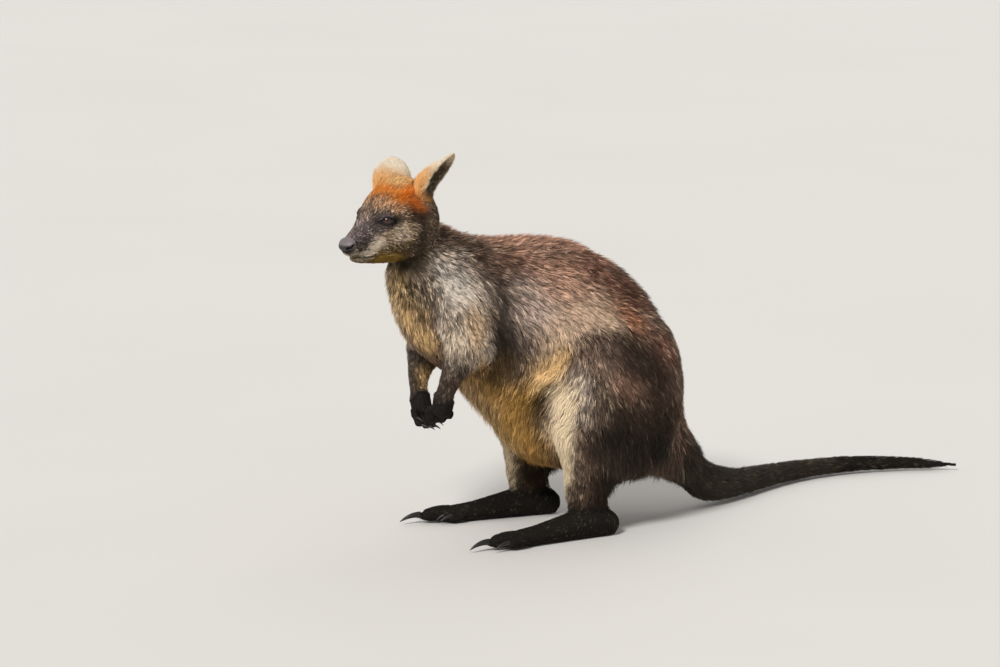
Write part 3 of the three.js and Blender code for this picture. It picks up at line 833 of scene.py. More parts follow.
# %% Strokes on the body: paint, strength, reach in millimetres, then places
BODY_STROKES = [
    # back: tan fur along the top of the back, with a painted highlight where the top is lit
    ("back", 0.85, 30, [(0, -250, 390), (0, -200, 386), (0, -110, 356)]),
    ("tan", 0.9, 44, [(60, -240, 345), (66, -200, 326), (68, -175, 312)]),
    ("russet", 0.85, 20, [(36, -240, 376), (54, -228, 354), (53, -193, 352), (49, -154, 348)]),
    ("nape", 0.95, 24, [(10, -340, 394), (26, -320, 388), (42, -296, 370), (52, -268, 358)]),
    # back, narrow along the ridge of the neck and back: painted highlight on the lit top
    ("back", 0.9, 9, [(6, -338, 402), (4, -300, 396), (4, -260, 392)]),
    ("ash", 0.6, 12, [(42, -318, 369)]),
    ("chestnut", 0.85, 28, [(30, -122, 353), (48, -128, 342), (54, -97, 311), (42, -66, 304)]),
    ("bay", 0.85, 18, [(44, -80, 310), (40, -56, 292)]),
    ("dun", 0.85, 20, [(67, -163, 318), (68, -200, 322)]),
    ("pewter", 0.95, 24, [(66, -240, 326), (73, -240, 292), (76, -214, 290)]),
    ("flank", 0.85, 22, [(72, -254, 276), (73, -240, 254)]),
    ("slate", 0.9, 18, [(68, -262, 254), (68, -254, 238), (64, -256, 222)]),
    # soot behind the arm: painted shadow of the arm on the chest
    ("soot", 0.98, 18, [(61, -276, 328), (67, -275, 308), (68, -274, 290), (66, -275, 262), (60, -270, 226)]),
    ("pale_hip", 0.97, 22, [(78, -206, 258), (77, -170, 288), (74, -129, 285)]),
    ("rufous", 0.95, 17, [(76, -104, 289), (86, -92, 276)]),
    ("honey", 0.95, 52, [(0, -285, 205), (0, -255, 140), (0, -215, 85)]),
    ("honey", 0.95, 20, [(52, -252, 182), (38, -244, 147), (74, -242, 190)]),
    ("amber", 0.8, 20, [(26, -276, 190), (34, -240, 130), (34, -220, 112)]),
    ("wheat", 0.85, 10, [(60, -206, 138), (55, -202, 124)]),
    # bronze on the belly behind the elbow: painted shade over golden fur
    ("bronze", 0.95, 15, [(56, -274, 222), (46, -286, 198)]),
    # straw along the belly's front edge: pale belly fur with a painted highlight on the lit edge
    ("straw", 0.9, 22, [(0, -294, 200), (0, -274, 150), (0, -246, 105)]),
    ("umber", 0.95, 15, [(70, -240, 226)]),
    ("gold", 0.98, 12, [(82, -200, 240), (77, -213, 223), (73, -230, 209)]),
    # bronze and sable along the flank fold and below it: painted shade in the crease and its hollow, over
    # golden fur
    ("bronze", 0.9, 11, FLANK_FOLD),
    ("bronze", 0.7, 12, [(58, -234, 166), (50, -232, 142)]),
    ("sable", 0.85, 5.5, FLANK_FOLD),
    ("ash", 0.9, 25, [(47, -342, 356), (60, -318, 320)]),
    ("silver", 0.85, 18, [(46, -350, 352), (57, -336, 334)]),
    ("drab", 0.9, 19, [(38, -372, 368), (44, -371, 330)]),
    # throat under the jaw: painted shadow over the throat's dark gold
    ("throat", 0.95, 14, [(22, -398, 362), (33, -384, 356)]),
    ("umber", 0.8, 12, [(34, -386, 344), (40, -376, 336)]),
    ("straw", 0.95, 17, [(6, -405, 336), (12, -399, 300), (24, -376, 266), (32, -366, 258)]),
    # dove down the front of the chest: pale chest fur with a painted highlight on the lit front edge
    ("dove", 0.7, 8, [(0, -413, 345), (0, -404, 310), (0, -390, 274)]),
    ("olive", 0.9, 12, [(25, -397, 338), (30, -388, 318), (40, -372, 298)]),
    ("gold", 0.9, 9, [(16, -396, 304), (26, -384, 282), (33, -370, 262), (26, -362, 246)]),
    ("drab", 0.8, 16, [(70, -355, 296)]),
    ("wheat", 0.9, 16, [(75, -314, 294), (80, -316, 264)]),
    ("dove", 0.9, 13, [(74, -350, 272), (76, -344, 256)]),
    ("drab", 0.8, 19, [(74, -350, 240), (84, -328, 242)]),
    ("ash", 0.5, 13, [(72, -352, 240)]),
    ("honey", 0.95, 13, [(64, -306, 230)]),
    ("gold", 0.7, 15, [(41, -332, 214)]),
    ("umber", 0.7, 20, [(66, -352, 212)]),
    ("bay", 0.75, 15, [(46, -257, 365), (50, -236, 358)]),
    ("drab", 0.85, 12, [(67, -361, 291)]),
    ("silver", 0.6, 10, [(55, -322, 343)]),
    ("drab", 0.6, 12, [(38, -377, 318), (38, -378, 344)]),
    ("gold", 0.9, 9, [(24, -370, 258)]),
    ("pale_hip", 0.6, 12, [(70, -145, 304)]),
    ("rufous", 0.7, 10, [(64, -110, 300)]),
    # slate beside it: more painted shadow behind the arm
    ("slate", 0.8, 9, [(69, -269, 285)]),
    ("umber", 0.9, 8, [(70, -240, 227)]),
    ("drab", 0.8, 14, [(36, -331, 190)]),
    ("wheat", 0.8, 14, [(6, -300, 192), (11, -271, 162)]),
    ("wheat", 0.8, 10, [(46, -194, 103)]),
    ("soot", 0.7, 14, [(48, -36, 89)]),
]
LEG_STROKES = [
    ("umber", 0.7, 28, [(95, -172, 236), (110, -155, 209)]),
    ("sable", 0.95, 24, [(92, -146, 252), (99, -112, 250), (104, -78, 228), (105, -66, 196)]),
    ("chestnut", 0.8, 15, [(95, -60, 250), (94, -42, 228)]),
    ("sable", 0.97, 38, [(114, -125, 168), (110, -123, 130), (108, -89, 150), (98, -52, 140),
                         (88, -63, 107)]),
    ("sable", 0.93, 17, [(109, -112, 221), (104, -70, 214), (106, -71, 184)]),
    ("russet", 0.8, 12, [(112, -132, 200), (112, -110, 188)]),
    ("umber", 0.85, 17, [(109, -150, 216)]),
    ("drab", 0.8, 15, [(114, -152, 190)]),
    ("ash", 0.7, 13, [(104, -184, 212), (108, -184, 186)]),
    ("ash", 0.6, 13, [(110, -184, 160)]),
    ("nape", 0.85, 14, [(104, -180, 124)]),
    ("wheat", 0.9, 13, [(84, -213, 208), (88, -210, 196)]),
    ("gold", 0.95, 7, [(77, -221, 221), (82, -216, 222), (83, -226, 211)]),
    ("umber", 0.8, 16, [(88, -160, 252), (92, -142, 256)]),
    ("soot", 0.6, 18, [(108, -101, 221)]),
    ("sable", 0.8, 14, [(112, -166, 136), (104, -162, 104)]),
    ("cream", 0.99, 17, [(92, -207, 190), (96, -210, 160), (91, -209, 130)]),
    ("cream", 0.97, 13, [(88, -208, 124), (83, -205, 90), (80, -204, 44)]),
    ("cream", 0.9, 14, [(66, -206, 130), (64, -204, 100), (62, -200, 52)]),
    ("umber", 0.8, 12, [(98, -178, 88), (92, -176, 56)]),
    ("umber", 0.35, 18, [(104, -124, 108), (98, -95, 104)]),
    # bronze along the flank fold: painted shade in the crease
    ("bronze", 0.95, 8, FLANK_FOLD),
    ("sable", 0.9, 20, [(40, -150, 95), (56, -150, 60)]),
    ("soot", 0.95, 22, [(112, -146, 130), (104, -110, 112), (88, -61, 108), (52, -50, 90)]),
    ("soot", 0.9, 20, [(100, -138, 84), (84, -92, 80)]),
]
LIMB_BASES = {"upper_arm": "ash", "forearm": "slate", "hand": "black", "shank": "sable", "foot": "soot",
              "tail_base": "tail", "tail_middle": "tail", "tail_tip": "soot", "thigh": "umber",
              "head": "temple", "jaw": "temple", "nose": "plum", "neck": "drab"}

# %% Strokes on the head: paint, strength, reach, then places (side, ahead, up) on its ruler
HEAD_STROKES = [
    ("bridge", 0.9, 12, [(0, 20, 2), (0, 34, -9), (0, 46, -20)]),
    ("plum", 0.9, 11, [(12, 28, -11), (13, 40, -22), (17, 31, -26)]),
    ("brow", 0.9, 14, [(0, 12, 12), (22, 6, 14)]),
    ("sandy", 0.85, 8, [(11, 1, 26), (18, -1, 25), (27, -8, 23), (33, -8, 15)]),
    ("charcoal", 0.95, 6.5, [(18, 16, 1), (23, 18, -11), (19, 28, -23)]),
    ("lid", 0.95, 7.5, [(28, 11, 1), (37, -2, 3)]),
    ("plum", 0.8, 6, [(28, 9, -11), (33, 0, -9)]),
    ("grey", 0.9, 11, [(23, 6, -34), (33, -5, -22), (37, -17, -17), (40, -29, -12)]),
    # dove on the cheek behind the eye: pale cheek fur with a painted highlight
    ("dove", 0.85, 8, [(37, -16, -13), (36, -18, -25)]),
    ("cheek", 0.9, 7, [(16, 24, -38), (21, 11, -38)]),
    ("cheek", 0.95, 8.5, [(14, 27, -39), (19, 19, -37), (26, 9, -27)]),
    ("olive", 0.8, 8, [(22, 4, -43), (30, -10, -41), (37, -30, -30)]),
    ("bronze", 0.7, 8, [(29, -12, -44), (31, -28, -42)]),
    ("lip", 0.85, 7, [(16, 31, -34), (10, 38, -41)]),
    ("cheek", 0.7, 3.5, [(9, 40, -44), (14, 31, -43), (18, 20, -42)]),
    ("chin", 0.9, 9, [(0, 36, -52), (12, 28, -49), (17, 16, -49)]),
    ("bone", 0.8, 4, [(0, 44, -45), (3, 43, -47)]),
    # black under the nostril: painted shadow
    ("black", 0.95, 4.0, [(7, 47, -38), (8, 44, -43)]),
    ("moss", 0.95, 10, [(6, 6, -58), (20, 4, -51), (24, -9, -51), (18, -26, -56)]),
    # throat, then tail, under the back of the jaw: painted shadow
    ("throat", 0.97, 10, [(14, -33, -66), (22, -43, -56), (32, -53, -53)]),
    ("tail", 0.8, 10, [(24, -40, -68), (32, -50, -66)]),
    ("sable", 0.85, 11, [(42, -44, 0), (41, -45, -14), (38, -46, -27), (31, -50, -41)]),
    ("orange", 0.95, 11, [(0, -9, 35), (17, -14, 36), (25, -22, 35)]),
    ("orange", 0.85, 8, [(27, -13, 27), (33, -18, 22)]),
    ("marigold", 0.75, 15, [(-4, -30, 45), (8, -40, 46), (16, -50, 42)]),
    ("flame", 0.95, 10, [(31, -22, 28), (31, -36, 34), (37, -36, 23), (40, -42, 18)]),
    ("rust", 0.9, 8, [(39, -29, 12), (42, -42, 11)]),
    ("sandy", 0.7, 9, [(36, -60, 22)]),
    ("flame", 0.9, 9, [(26, -41, 39)]),
    ("flame", 0.5, 8, [(7, -15, 38)]),
    ("sable", 0.95, 6.5, [(40, -31, 6), (41, -46, 5)]),
    ("charcoal", 0.85, 8, [(21, 10, 9), (30, 4, 9)]),
    ("charcoal", 0.4, 7, [(9, 15, 8)]),
    ("plum", 0.6, 6, [(19, 22, -13)]),
    ("moss", 0.6, 6, [(20, -31, -52)]),
    ("lid", 0.6, 6, [(25, 11, -2)]),
    ("lid", 0.8, 5, [(35, -7, -2), (37, -11, -1)]),
    # black below the corner of the nose pad: painted shadow
    ("black", 0.9, 4.5, [(12, 44, -37)]),
    ("moss", 0.8, 7, [(19, 9, -49)]),
    # soot under the back of the jaw: painted shadow
    ("soot", 0.7, 7, [(21, -42, -55), (16, -33, -64)]),
    ("chestnut", 0.7, 14, [(0, -56, 42), (20, -68, 30)]),
    ("sable", 0.9, 2.2, [(30, -33, 38), (33, -34, 31), (36, -36, 27)]),
    ("sable", 0.5, 2.5, [(0, -1, 30), (10, -3, 31), (17, -7, 31)]),
]
# Places under the nose pad, where the skin gets painted shade.
UNDER_NOSE = [(0, 48, -39), (8, 47, -37), (12, 45, -36), (14, 43, -32)]
WHISKER_ROOTS = [
    (13 + 1.6 * row + 0.9 * step, 37 - 4.2 * step - 1.1 * row, -26 - 3.6 * row - 0.6 * step)
    for row in range(4) for step in range(4)
]


# %% Paint
# Depth and half width of a fold, in millimetres.
NECK_FOLD_SHAPE = (3.0, 2.9)
FLANK_FOLD_SHAPE = (5.0, 8.0)
WHISKER_DOT = 1.9
WAVER_PATCH = 0.035
WAVER_REACH = 0.003


def wander(points, size, seed):
    """A smooth random field from -1 to 1 whose patches are about this size in metres."""
    draw = np.random.default_rng(seed)
    total = np.zeros(len(points))
    for _ in range(9):
        wave = draw.normal(size=3)
        wave *= draw.uniform(0.6, 1.5) * 2 * math.pi / size / np.linalg.norm(wave)
        total += np.sin(points @ wave + draw.uniform(0, 2 * math.pi))
    return np.clip(total / 3.2, -1, 1)


def lay(values, chosen, places, strokes):
    """Draws the chosen values, colours or numbers, towards each stroke's own, in order."""
    piece = values[chosen]
    near = places[chosen]
    for value, strength, reach, path in strokes:
        share = strength * bell(stroke_distance(near, path), reach, 3)
        piece += ((paint_values.get(value, value) - piece).T * share).T
    values[chosen] = piece


def darken(colours, share):
    """Takes this share of the light away."""
    colours *= (1 - share)[:, None]


def painted(points, owners):
    """The linear colour of the coat at these points of the skin. Owners are numbers in flesh."""
    waver = np.stack([wander(points, WAVER_PATCH, seed) for seed in (1, 2, 3)], 1)
    moved = points + waver * WAVER_REACH
    part = kinds[owners]
    colours = np.tile(paint_values["umber"], (len(points), 1))
    for kind, name in LIMB_BASES.items():
        colours[part == kind] = paint_values[name]
    places = on_body(moved, owners)
    lay(colours, ~np.isin(part, ("hand", "foot")), places, BODY_STROKES)
    lay(colours, np.isin(part, ("thigh", "shank", "rump", "tail_base")), places, LEG_STROKES)
    face = np.isin(part, ("head", "jaw", "nose", "neck"))
    lay(colours, face, mirrored(on_head(moved)), HEAD_STROKES)
    return colours


points = read_points(skin_mesh)
ends = edge_ends(skin_mesh)
owner = parts_at(points)
outward = blurred(read_points(skin_mesh, "vector"), ends, 3)
folded = on_body(points, owner)
for fold in [*NECK_FOLDS, FLANK_FOLD]:
    depth, half = FLANK_FOLD_SHAPE if fold is FLANK_FOLD else NECK_FOLD_SHAPE
    from_fold = stroke_distance(folded, fold) / half
    push = 0.5 * depth * np.exp(-(from_fold - 1.8) ** 2 * 2) - depth * np.exp(-from_fold ** 2)
    points = points + outward * push[:, None] * MM
write_points(skin_mesh, points)
depths = np.array([COAT[kind][0] for kind in kinds[owner]])[:, None] * MM
skin_paint = painted(points + outward * depths, owner)
skin_paint = blurred(skin_paint, ends, 3)
# Painted shade: the skin is darkened in the neck creases and in the flank fold.
fold_painted_shade = np.zeros(len(points))
for fold in NECK_FOLDS:
    fold_painted_shade = np.maximum(fold_painted_shade, bell(stroke_distance(folded, fold), 2.8, 4))
fold_painted_shade = np.maximum(fold_painted_shade, 0.6 * bell(stroke_distance(folded, FLANK_FOLD), 6.5))
darken(skin_paint, 0.9 * fold_painted_shade)
sided = mirrored(on_head(points))
# Painted shade under the nose pad.
darken(skin_paint, 0.75 * bell(stroke_distance(sided, UNDER_NOSE), 3.4, 4))
for place in WHISKER_ROOTS:
    nearest = np.linalg.norm(sided - place, axis=1).argmin()
    from_dot = np.linalg.norm(sided - sided[nearest], axis=1)
    darken(skin_paint, 0.92 * bell(from_dot, WHISKER_DOT, 4))
print("painted", len(points), "points at", seconds(), "s")

# %% [markdown]
# ## Where the coat is long, thick or missing
#
# Length, depth and number of hairs are numbers that each body part starts with and that strokes
# change: short on the muzzle, long on the belly and down the front of the thigh, none on lids,
# lips, nose and soles. They are blurred over the skin so that one part runs into the next.

# %% Coat numbers over the skin
BODY_LENGTHS = [
    (30, 0.9, 40, [(0, -290, 200), (0, -265, 145), (0, -220, 90)]),
    (40, 0.95, 30, [(88, -120, 96), (75, -70, 100), (50, -30, 98), (10, -5, 92)]),
    (26, 0.9, 16, [(92, -185, 242), (84, -212, 220), (74, -232, 200)]),
    (28, 0.9, 16, [(86, -216, 200), (88, -214, 150), (80, -206, 112)]),
    (20, 0.6, 24, [(0, -400, 300), (0, -370, 250)]),
    (20, 0.7, 18, [(84, -325, 262)]),
]
BODY_LENGTHS += [(4.5, 0.95, 5.0, fold) for fold in NECK_FOLDS]
BODY_DEPTHS = [
    (20, 0.95, 34, [(0, -290, 200), (0, -270, 150), (0, -240, 105)]),
    (26, 0.95, 27, [(80, -112, 92), (70, -70, 96), (50, -30, 94), (10, -5, 90)]),
    (10, 0.9, 14, [(80, -218, 208), (88, -216, 175), (84, -208, 138)]),
    (10, 0.9, 24, [(0, -345, 400), (20, -350, 400)]),
    (13, 0.9, 24, [(0, -415, 350), (0, -405, 300), (0, -392, 262)]),
    (14, 0.9, 40, [(0, -90, 330), (0, -60, 310), (0, -10, 250), (0, 10, 190)]),
    (12.5, 0.9, 30, [(0, -320, 392), (0, -240, 388), (0, -150, 372)]),
    (10, 0.8, 14, [(84, -325, 262), (82, -316, 244)]),
]
BODY_DEPTHS += [(2, 0.9, 4.5, fold) for fold in NECK_FOLDS]
HEAD_LENGTHS = [
    (3.2, 1.0, 24, [(0, 45, -25), (0, 30, -20), (14, 36, -40)]),
    (3.4, 1.0, 13, [(30, 6, 0), (24, 18, -8)]),
    (4.5, 0.8, 14, [(0, 10, 12)]),
    (9.0, 0.9, 18, [(0, -20, 38), (30, -34, 30), (38, -42, 14)]),
    (14.0, 1.0, 15, [(18, -38, 44), (32, -34, 36)]),
    (8.5, 0.7, 16, [(36, -20, -20), (30, -25, -40)]),
]

ear_along = np.zeros(len(points))
ear_ahead = np.zeros(len(points))
ear_inside = np.zeros(len(points))
for ear_name, leaf in in_ear.items():
    ear_along[leaf] = ear_rulers[ear_name].along(points[leaf])
    ear_ahead[leaf] = ear_rulers[ear_name].ahead(points[leaf])
ear_inside[body_points:] = hollow_side
ear_inside = blurred(ear_inside, ends, 2)
ear_edge = bell(blurred(ear_inside, ends, 26) - 0.5, 0.27)
is_ear = np.arange(len(points)) >= body_points
skin_normals = unit_rows(blurred(read_points(skin_mesh, "vector"), ends, 1))

part = kinds[owner]
part[is_ear] = "ear"
body_spots = on_body(points, owner)
head_spots = mirrored(on_head(points))
coat_depth, length, width, crowd = np.array([COAT[kind] for kind in part], float).T.copy()
on_face = np.isin(part, ("head", "jaw", "nose"))
on_trunk = ~on_face & ~np.isin(part, ("ear", "hand", "foot", "forearm"))
lay(length, on_trunk, body_spots, BODY_LENGTHS)
lay(coat_depth, on_trunk, body_spots, BODY_DEPTHS)
lay(length, on_face, head_spots, HEAD_LENGTHS)
coat_depth[on_face] = np.clip(0.42 * length[on_face] - 0.8, 0.8, 6.0)
width[on_face] = 0.4 + 0.06 * length[on_face]
ear_front = is_ear * (1 - ear_inside) * (1 - smooth_step(ear_along, 0.25, 0.85))
ear_front *= 0.35 + 0.65 * smooth_step(ear_ahead, -0.3, 0.5)
ear_fringe = is_ear * ear_inside * ear_edge * smooth_step(ear_ahead, -0.1, 0.4)
for share, deeper, longer, wider in ((ear_front, 6.0, 9.0, 0.25), (ear_fringe, 0.8, 3.0, 0)):
    coat_depth += share * deeper
    length += share * longer
    width += share * wider
coat_depth, length, width = (blurred(values, ends, 8) for values in (coat_depth, length, width))

# %% Bare places
BY_EYE = 16
SOLE_HEIGHT = 0.004
slit_along, slit_rise, outside_slit, from_ball = slit_places(head_spots)
by_eye = from_ball < BY_EYE
lids = by_eye * (1 - smooth_step(outside_slit, 0.8, 1.7))
face_side, face_ahead, face_up = head_spots.T
from_lips = np.abs(face_up - lip_line(face_ahead))
lips = (1 - smooth_step(from_lips, 0.4, 1.0)) * on_face
lips *= (face_ahead > 6) & (face_ahead < 44) & (face_side < 26)
nose_pad = ((pad_distance(head_spots) < 1.0) | (nostril_distance(head_spots) < 2.6)) * on_face
soles = (skin_normals[:, 2] < -0.6) & (points[:, 2] < SOLE_HEIGHT) & (part == "foot")
bare = np.clip(lids + lips + nose_pad + soles, 0, 1)
hollow = is_ear * ear_inside * (1 - ear_edge)
crowd *= (1 - bare) * (1 - 0.55 * hollow)
print("coat is", length.min().round(1), "to", length.max().round(1), "mm long")

# %% Dark fur round the eyes
darken(skin_paint, 0.7 * (by_eye * (1 - smooth_step(outside_slit, 1.5, 6.0))))
# A band on the upper lid above the dark rim: pinkish-grey lid skin with a painted sheen.
lid_skin_and_painted_sheen = by_eye * bell(outside_slit - 3.4, 1.0) * (slit_rise > 1.5) * (slit_along > -7)
skin_paint += (paint_values["lid_edge"] - skin_paint) * 0.7 * lid_skin_and_painted_sheen[:, None]
mouth_line = bell(from_lips, 1.4) * on_face * (face_side > 7)
mouth_line *= smooth_step(face_ahead, 2, 8) * (1 - smooth_step(face_ahead, 30, 38))
darken(skin_paint, 0.85 * mouth_line)

# %% Ear paint: grey back with a pale rim, ginger foot, dark hollow
def layered(base, layers):
    """A base colour at every point with these shares of paints laid over it in order."""
    colours = np.tile(base, (len(points), 1))
    for name, share in layers:
        colours += (paint_values[name] - colours) * share[:, None]
    return colours


toward_tip = smooth_step(ear_along, 0.35, 0.8)
ear_back = layered(paint_values["ginger"], [
    ("bone", toward_tip),
    ("apricot", 0.95 * (1 - smooth_step(ear_along, 0.28, 0.62))),
    ("orange", 0.8 * (1 - smooth_step(ear_along, 0.05, 0.22))),
    ("cream", 0.8 * ear_edge * smooth_step(ear_along, 0.35, 0.6) * (ear_ahead < 0.2)),
])
ear_hollow = layered(paint_values["olive"] * 0.7, [
    ("sable", 0.5 * (1 - toward_tip)),
    ("cream", 0.95 * ear_edge * smooth_step(ear_along, 0.12, 0.3)),
    ("cream", 0.8 * smooth_step(ear_along, 0.72, 0.9)),
    ("apricot", 0.9 * (1 - smooth_step(ear_along, 0.06, 0.2))),
])
ear_paint = ear_back + (ear_hollow - ear_back) * ear_inside[:, None]
skin_paint = np.where(is_ear[:, None], ear_paint, skin_paint)

# %% How grizzled: strong on grey and brown, faint on cream, black and orange
brightness = skin_paint.mean(1)
grizzle = 0.3 + 0.7 * smooth_step(brightness, 0.015, 0.08)
grizzle *= 1 - 0.75 * smooth_step(brightness, 0.32, 0.6)
redness = (skin_paint[:, 0] - skin_paint[:, 2]) / (skin_paint[:, 0] + 1e-4)
grizzle *= 1 - 0.7 * smooth_step(redness, 0.72, 0.92)
grizzle *= np.where(np.isin(part, ("head", "jaw", "neck")), 1.25, 1.0)

# %% [markdown]
# ## The lie of the coat
#
# Hair runs back from the nose, over the crown, down the shoulders and flanks, and forward again
# on the fold before the thigh. A few combed places, each with the way its hair points, are spread
# over the whole animal; every point of the skin takes the mean of those near it, turned to lie in
# the surface. On the tail the hair simply follows the tail's own middle line.

# %% Combed places
BODY_LIE = [
    ((0, -330, 392), (0, 1, -0.15)), ((30, -320, 386), (0.2, 0.9, -0.4)),
    ((45, -345, 370), (0.1, 0.6, -0.8)), ((0, -410, 350), (0, 0.15, -1)),
    ((30, -392, 345), (0.15, 0.35, -0.95)), ((50, -352, 345), (0.1, 0.45, -0.9)),
    ((66, -322, 330), (0.15, 0.45, -0.9)), ((82, -325, 285), (0, 0.25, -1)),
    ((0, -395, 290), (0, 0.2, -1)), ((42, -376, 300), (0, 0.35, -0.95)),
    ((25, -370, 250), (0, 0.1, -1)), ((78, -352, 262), (-0.1, 0.1, -1)),
    ((76, -325, 235), (-0.1, 0.1, -1)), ((62, -352, 215), (-0.2, -0.1, -1)),
    ((48, -348, 180), (-0.3, -0.35, -1)), ((0, -240, 388), (0, 1, 0)), ((0, -150, 372), (0, 1, -0.15)),
    ((0, -90, 335), (0, 0.9, -0.6)), ((45, -280, 368), (0.25, 0.85, -0.5)),
    ((60, -210, 350), (0.25, 0.85, -0.55)), ((70, -290, 300), (0, 0.4, -0.9)),
    ((78, -235, 300), (0.1, 0.7, -0.75)), ((76, -250, 245), (0, 0.4, -0.95)),
    ((88, -200, 250), (0, -0.15, -1)), ((85, -210, 224), (-0.2, -0.75, -0.7)),
    ((78, -180, 300), (0.1, 0.8, -0.55)), ((44, -120, 340), (0.25, 0.85, -0.6)),
    ((74, -80, 288), (0.2, 0.65, -0.8)), ((60, -30, 230), (0, 0.4, -0.95)),
    ((0, -25, 240), (0, 0.5, -0.9)), ((96, -188, 225), (0, -0.4, -0.95)),
    ((104, -150, 245), (0.1, 0.35, -0.95)), ((118, -120, 190), (0, 0.45, -0.9)),
    ((106, -60, 190), (-0.1, 0.35, -1)), ((88, -212, 165), (-0.15, -0.65, -0.8)),
    ((112, -160, 140), (0, 0.25, -1)), ((60, -258, 195), (-0.2, -0.4, -0.95)),
    ((40, -225, 120), (-0.1, -0.35, -1)), ((0, -270, 160), (0, -0.15, -1)),
    ((0, -220, 95), (0, 0.3, -0.9)), ((95, -180, 75), (0, 0, -1)), ((92, -110, 70), (0, 0.35, -0.95)),
    ((55, -160, 70), (0, 0, -1)), ((85, -165, 40), (0, -0.2, -1)), ((84, -95, 25), (0, 0.3, -0.95)),
    ((80, -215, 28), (0, -1, -0.3)), ((78, -270, 14), (0, -1, -0.25)), ((40, 0, 110), (0, 0.6, -0.8)),
]
HEAD_LIE = [
    ((0, 48, -24), (0, -0.7, 0.7)), ((0, 25, -4), (0, -1, 0.5)), ((0, 6, 18), (0, -0.85, 0.55)),
    ((0, -14, 38), (0, -1, 0.35)), ((0, -48, 42), (0, -1, -0.35)), ((14, 34, -30), (0.2, -1, 0.1)),
    ((22, 16, -22), (0.2, -1, 0)), ((29, 5, -24), (0.1, -1, -0.2)), ((37, -16, -18), (0, -0.9, -0.5)),
    ((27, -4, 13), (0.1, -0.85, 0.5)), ((38, -22, 6), (0.1, -1, 0)), ((36, -42, 18), (0.1, -0.8, -0.5)),
    ((28, -28, 36), (0.2, -0.8, 0.5)), ((0, 0, -55), (0, -1, -0.1)), ((0, 34, -53), (0, -1, 0)),
    ((20, 10, -48), (0, -1, -0.2)), ((41, -50, -16), (0, -0.7, -0.8)),
    ((30, -36, -46), (0, -0.7, -0.7)),
]


def on_both_sides(pairs, to_place, to_way):
    """Each place in the frame and the way of its hair, on the left side and on the right."""
    for place, way in pairs:
        for mirror in SIDES.values():
            yield to_place(np.array(place, float) * mirror), unit(*to_way(way * mirror))


combed = list(on_both_sides(BODY_LIE, lambda spot: spot * MM + (body_middle, 0, 0), lambda way: way))
combed += on_both_sides(HEAD_LIE, from_head, lambda way: way @ head_axes)
COMB_REACH = 0.006
lie = np.zeros_like(points)
weight_sum = np.zeros(len(points))
for place, way in combed:
    nearness = 1 / (((points - place) ** 2).sum(1) + COMB_REACH ** 2) ** 1.6
    lie += nearness[:, None] * way
    weight_sum += nearness
lie /= weight_sum[:, None]

# %% The tail follows its middle line
SLICE_HALF = 0.02
TAIL_LYING = 0.13
tail_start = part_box("tail_base")[0].y + 0.02
tail_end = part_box("tail_tip")[1].y
slices = np.linspace(tail_start, tail_end, 24)
behind = np.isin(part, ("tail_base", "tail_middle", "tail_tip", "rump"))
behind &= points[:, 1] > tail_start - 0.03
middles = [points[behind & (np.abs(points[:, 1] - y) < SLICE_HALF)].mean(0) for y in slices]
tangents = unit_rows(np.gradient(np.array(middles), axis=0))
tail_way = np.stack([np.interp(points[:, 1], slices, column) for column in tangents.T], 1)
tail_share = smooth_step(points[:, 1], tail_start - 0.03, tail_start + 0.05)
tail_share *= points[:, 2] < TAIL_LYING
lie = lie + (tail_way - lie) * tail_share[:, None]
for ear_name, leaf in in_ear.items():
    lie[leaf] = ear_rulers[ear_name].long


def in_surface(ways, normals):
    """Directions turned to lie in the surface, at length one."""
    flat = ways - normals * (ways * normals).sum(1)[:, None]
    return flat / (np.linalg.norm(flat, axis=1)[:, None] + 1e-9)


lie = in_surface(blurred(lie, ends, 4), skin_normals)
print("coat is combed, at", seconds(), "s")

# %% [markdown]
# ## A map of the skin
#
# The colours are to be baked later through a map, which is laid here. Each body part is a rough
# tube, so its own long axis gives a turn and a length for every point, and the tubes lie side by
# side in a grid for the skin. A coat piece uses the same turn and length of its own parts, and every
# lock gets a small patch at its root's place there.

# %% Turn and length round each part's axis
part_names = flesh + list(in_ear)
part_number = owner.copy()
for number, leaf in enumerate(in_ear.values()):
    part_number[leaf] = len(flesh) + number
skin_turn = np.zeros(len(points))
skin_reach = np.zeros(len(points))
for number in np.unique(part_number):
    here = part_number == number
    centred = points[here] - points[here].mean(0)
    axes = np.linalg.svd(centred, full_matrices=False)[2]
    skin_turn[here] = np.arctan2(centred @ axes[1], centred @ axes[2]) / (2 * math.pi) + 0.5
    along_axis = centred @ axes[0]
    skin_reach[here] = (along_axis - along_axis.min()) / np.ptp(along_axis)


# %% Lay the skin's own map
MAP_COLUMNS = 6
CELL = 1 / MAP_COLUMNS
MARGIN = 0.03


def lay_map(mesh, places):
    """Gives the mesh its baking map: a place for every corner of its faces."""
    layer = mesh.uv_layers.new(name="OFBake")
    layer.data.foreach_set("uv", places.astype(np.float32).ravel())


triangles = np.empty(len(skin_mesh.loops), np.int32)
skin_mesh.loops.foreach_get("vertex_index", triangles)
triangles = triangles.reshape(-1, 3)
face_part = part_number[triangles[:, 0]]
turns = skin_turn[triangles]
wraps = np.ptp(turns, axis=1)[:, None] > 0.5
turns = np.where(wraps & (turns < 0.5), turns + 1, turns)
turns = np.where(wraps, turns - 0.04, turns)
across_cell = MARGIN + 0.9 * np.clip(turns, 0, 1.03)
up_cell = MARGIN + 0.94 * skin_reach[triangles]
rows, columns = np.divmod(face_part[:, None], MAP_COLUMNS)
lay_map(skin_mesh, np.stack([columns * CELL + CELL * across_cell, rows * CELL + CELL * up_cell], 2))

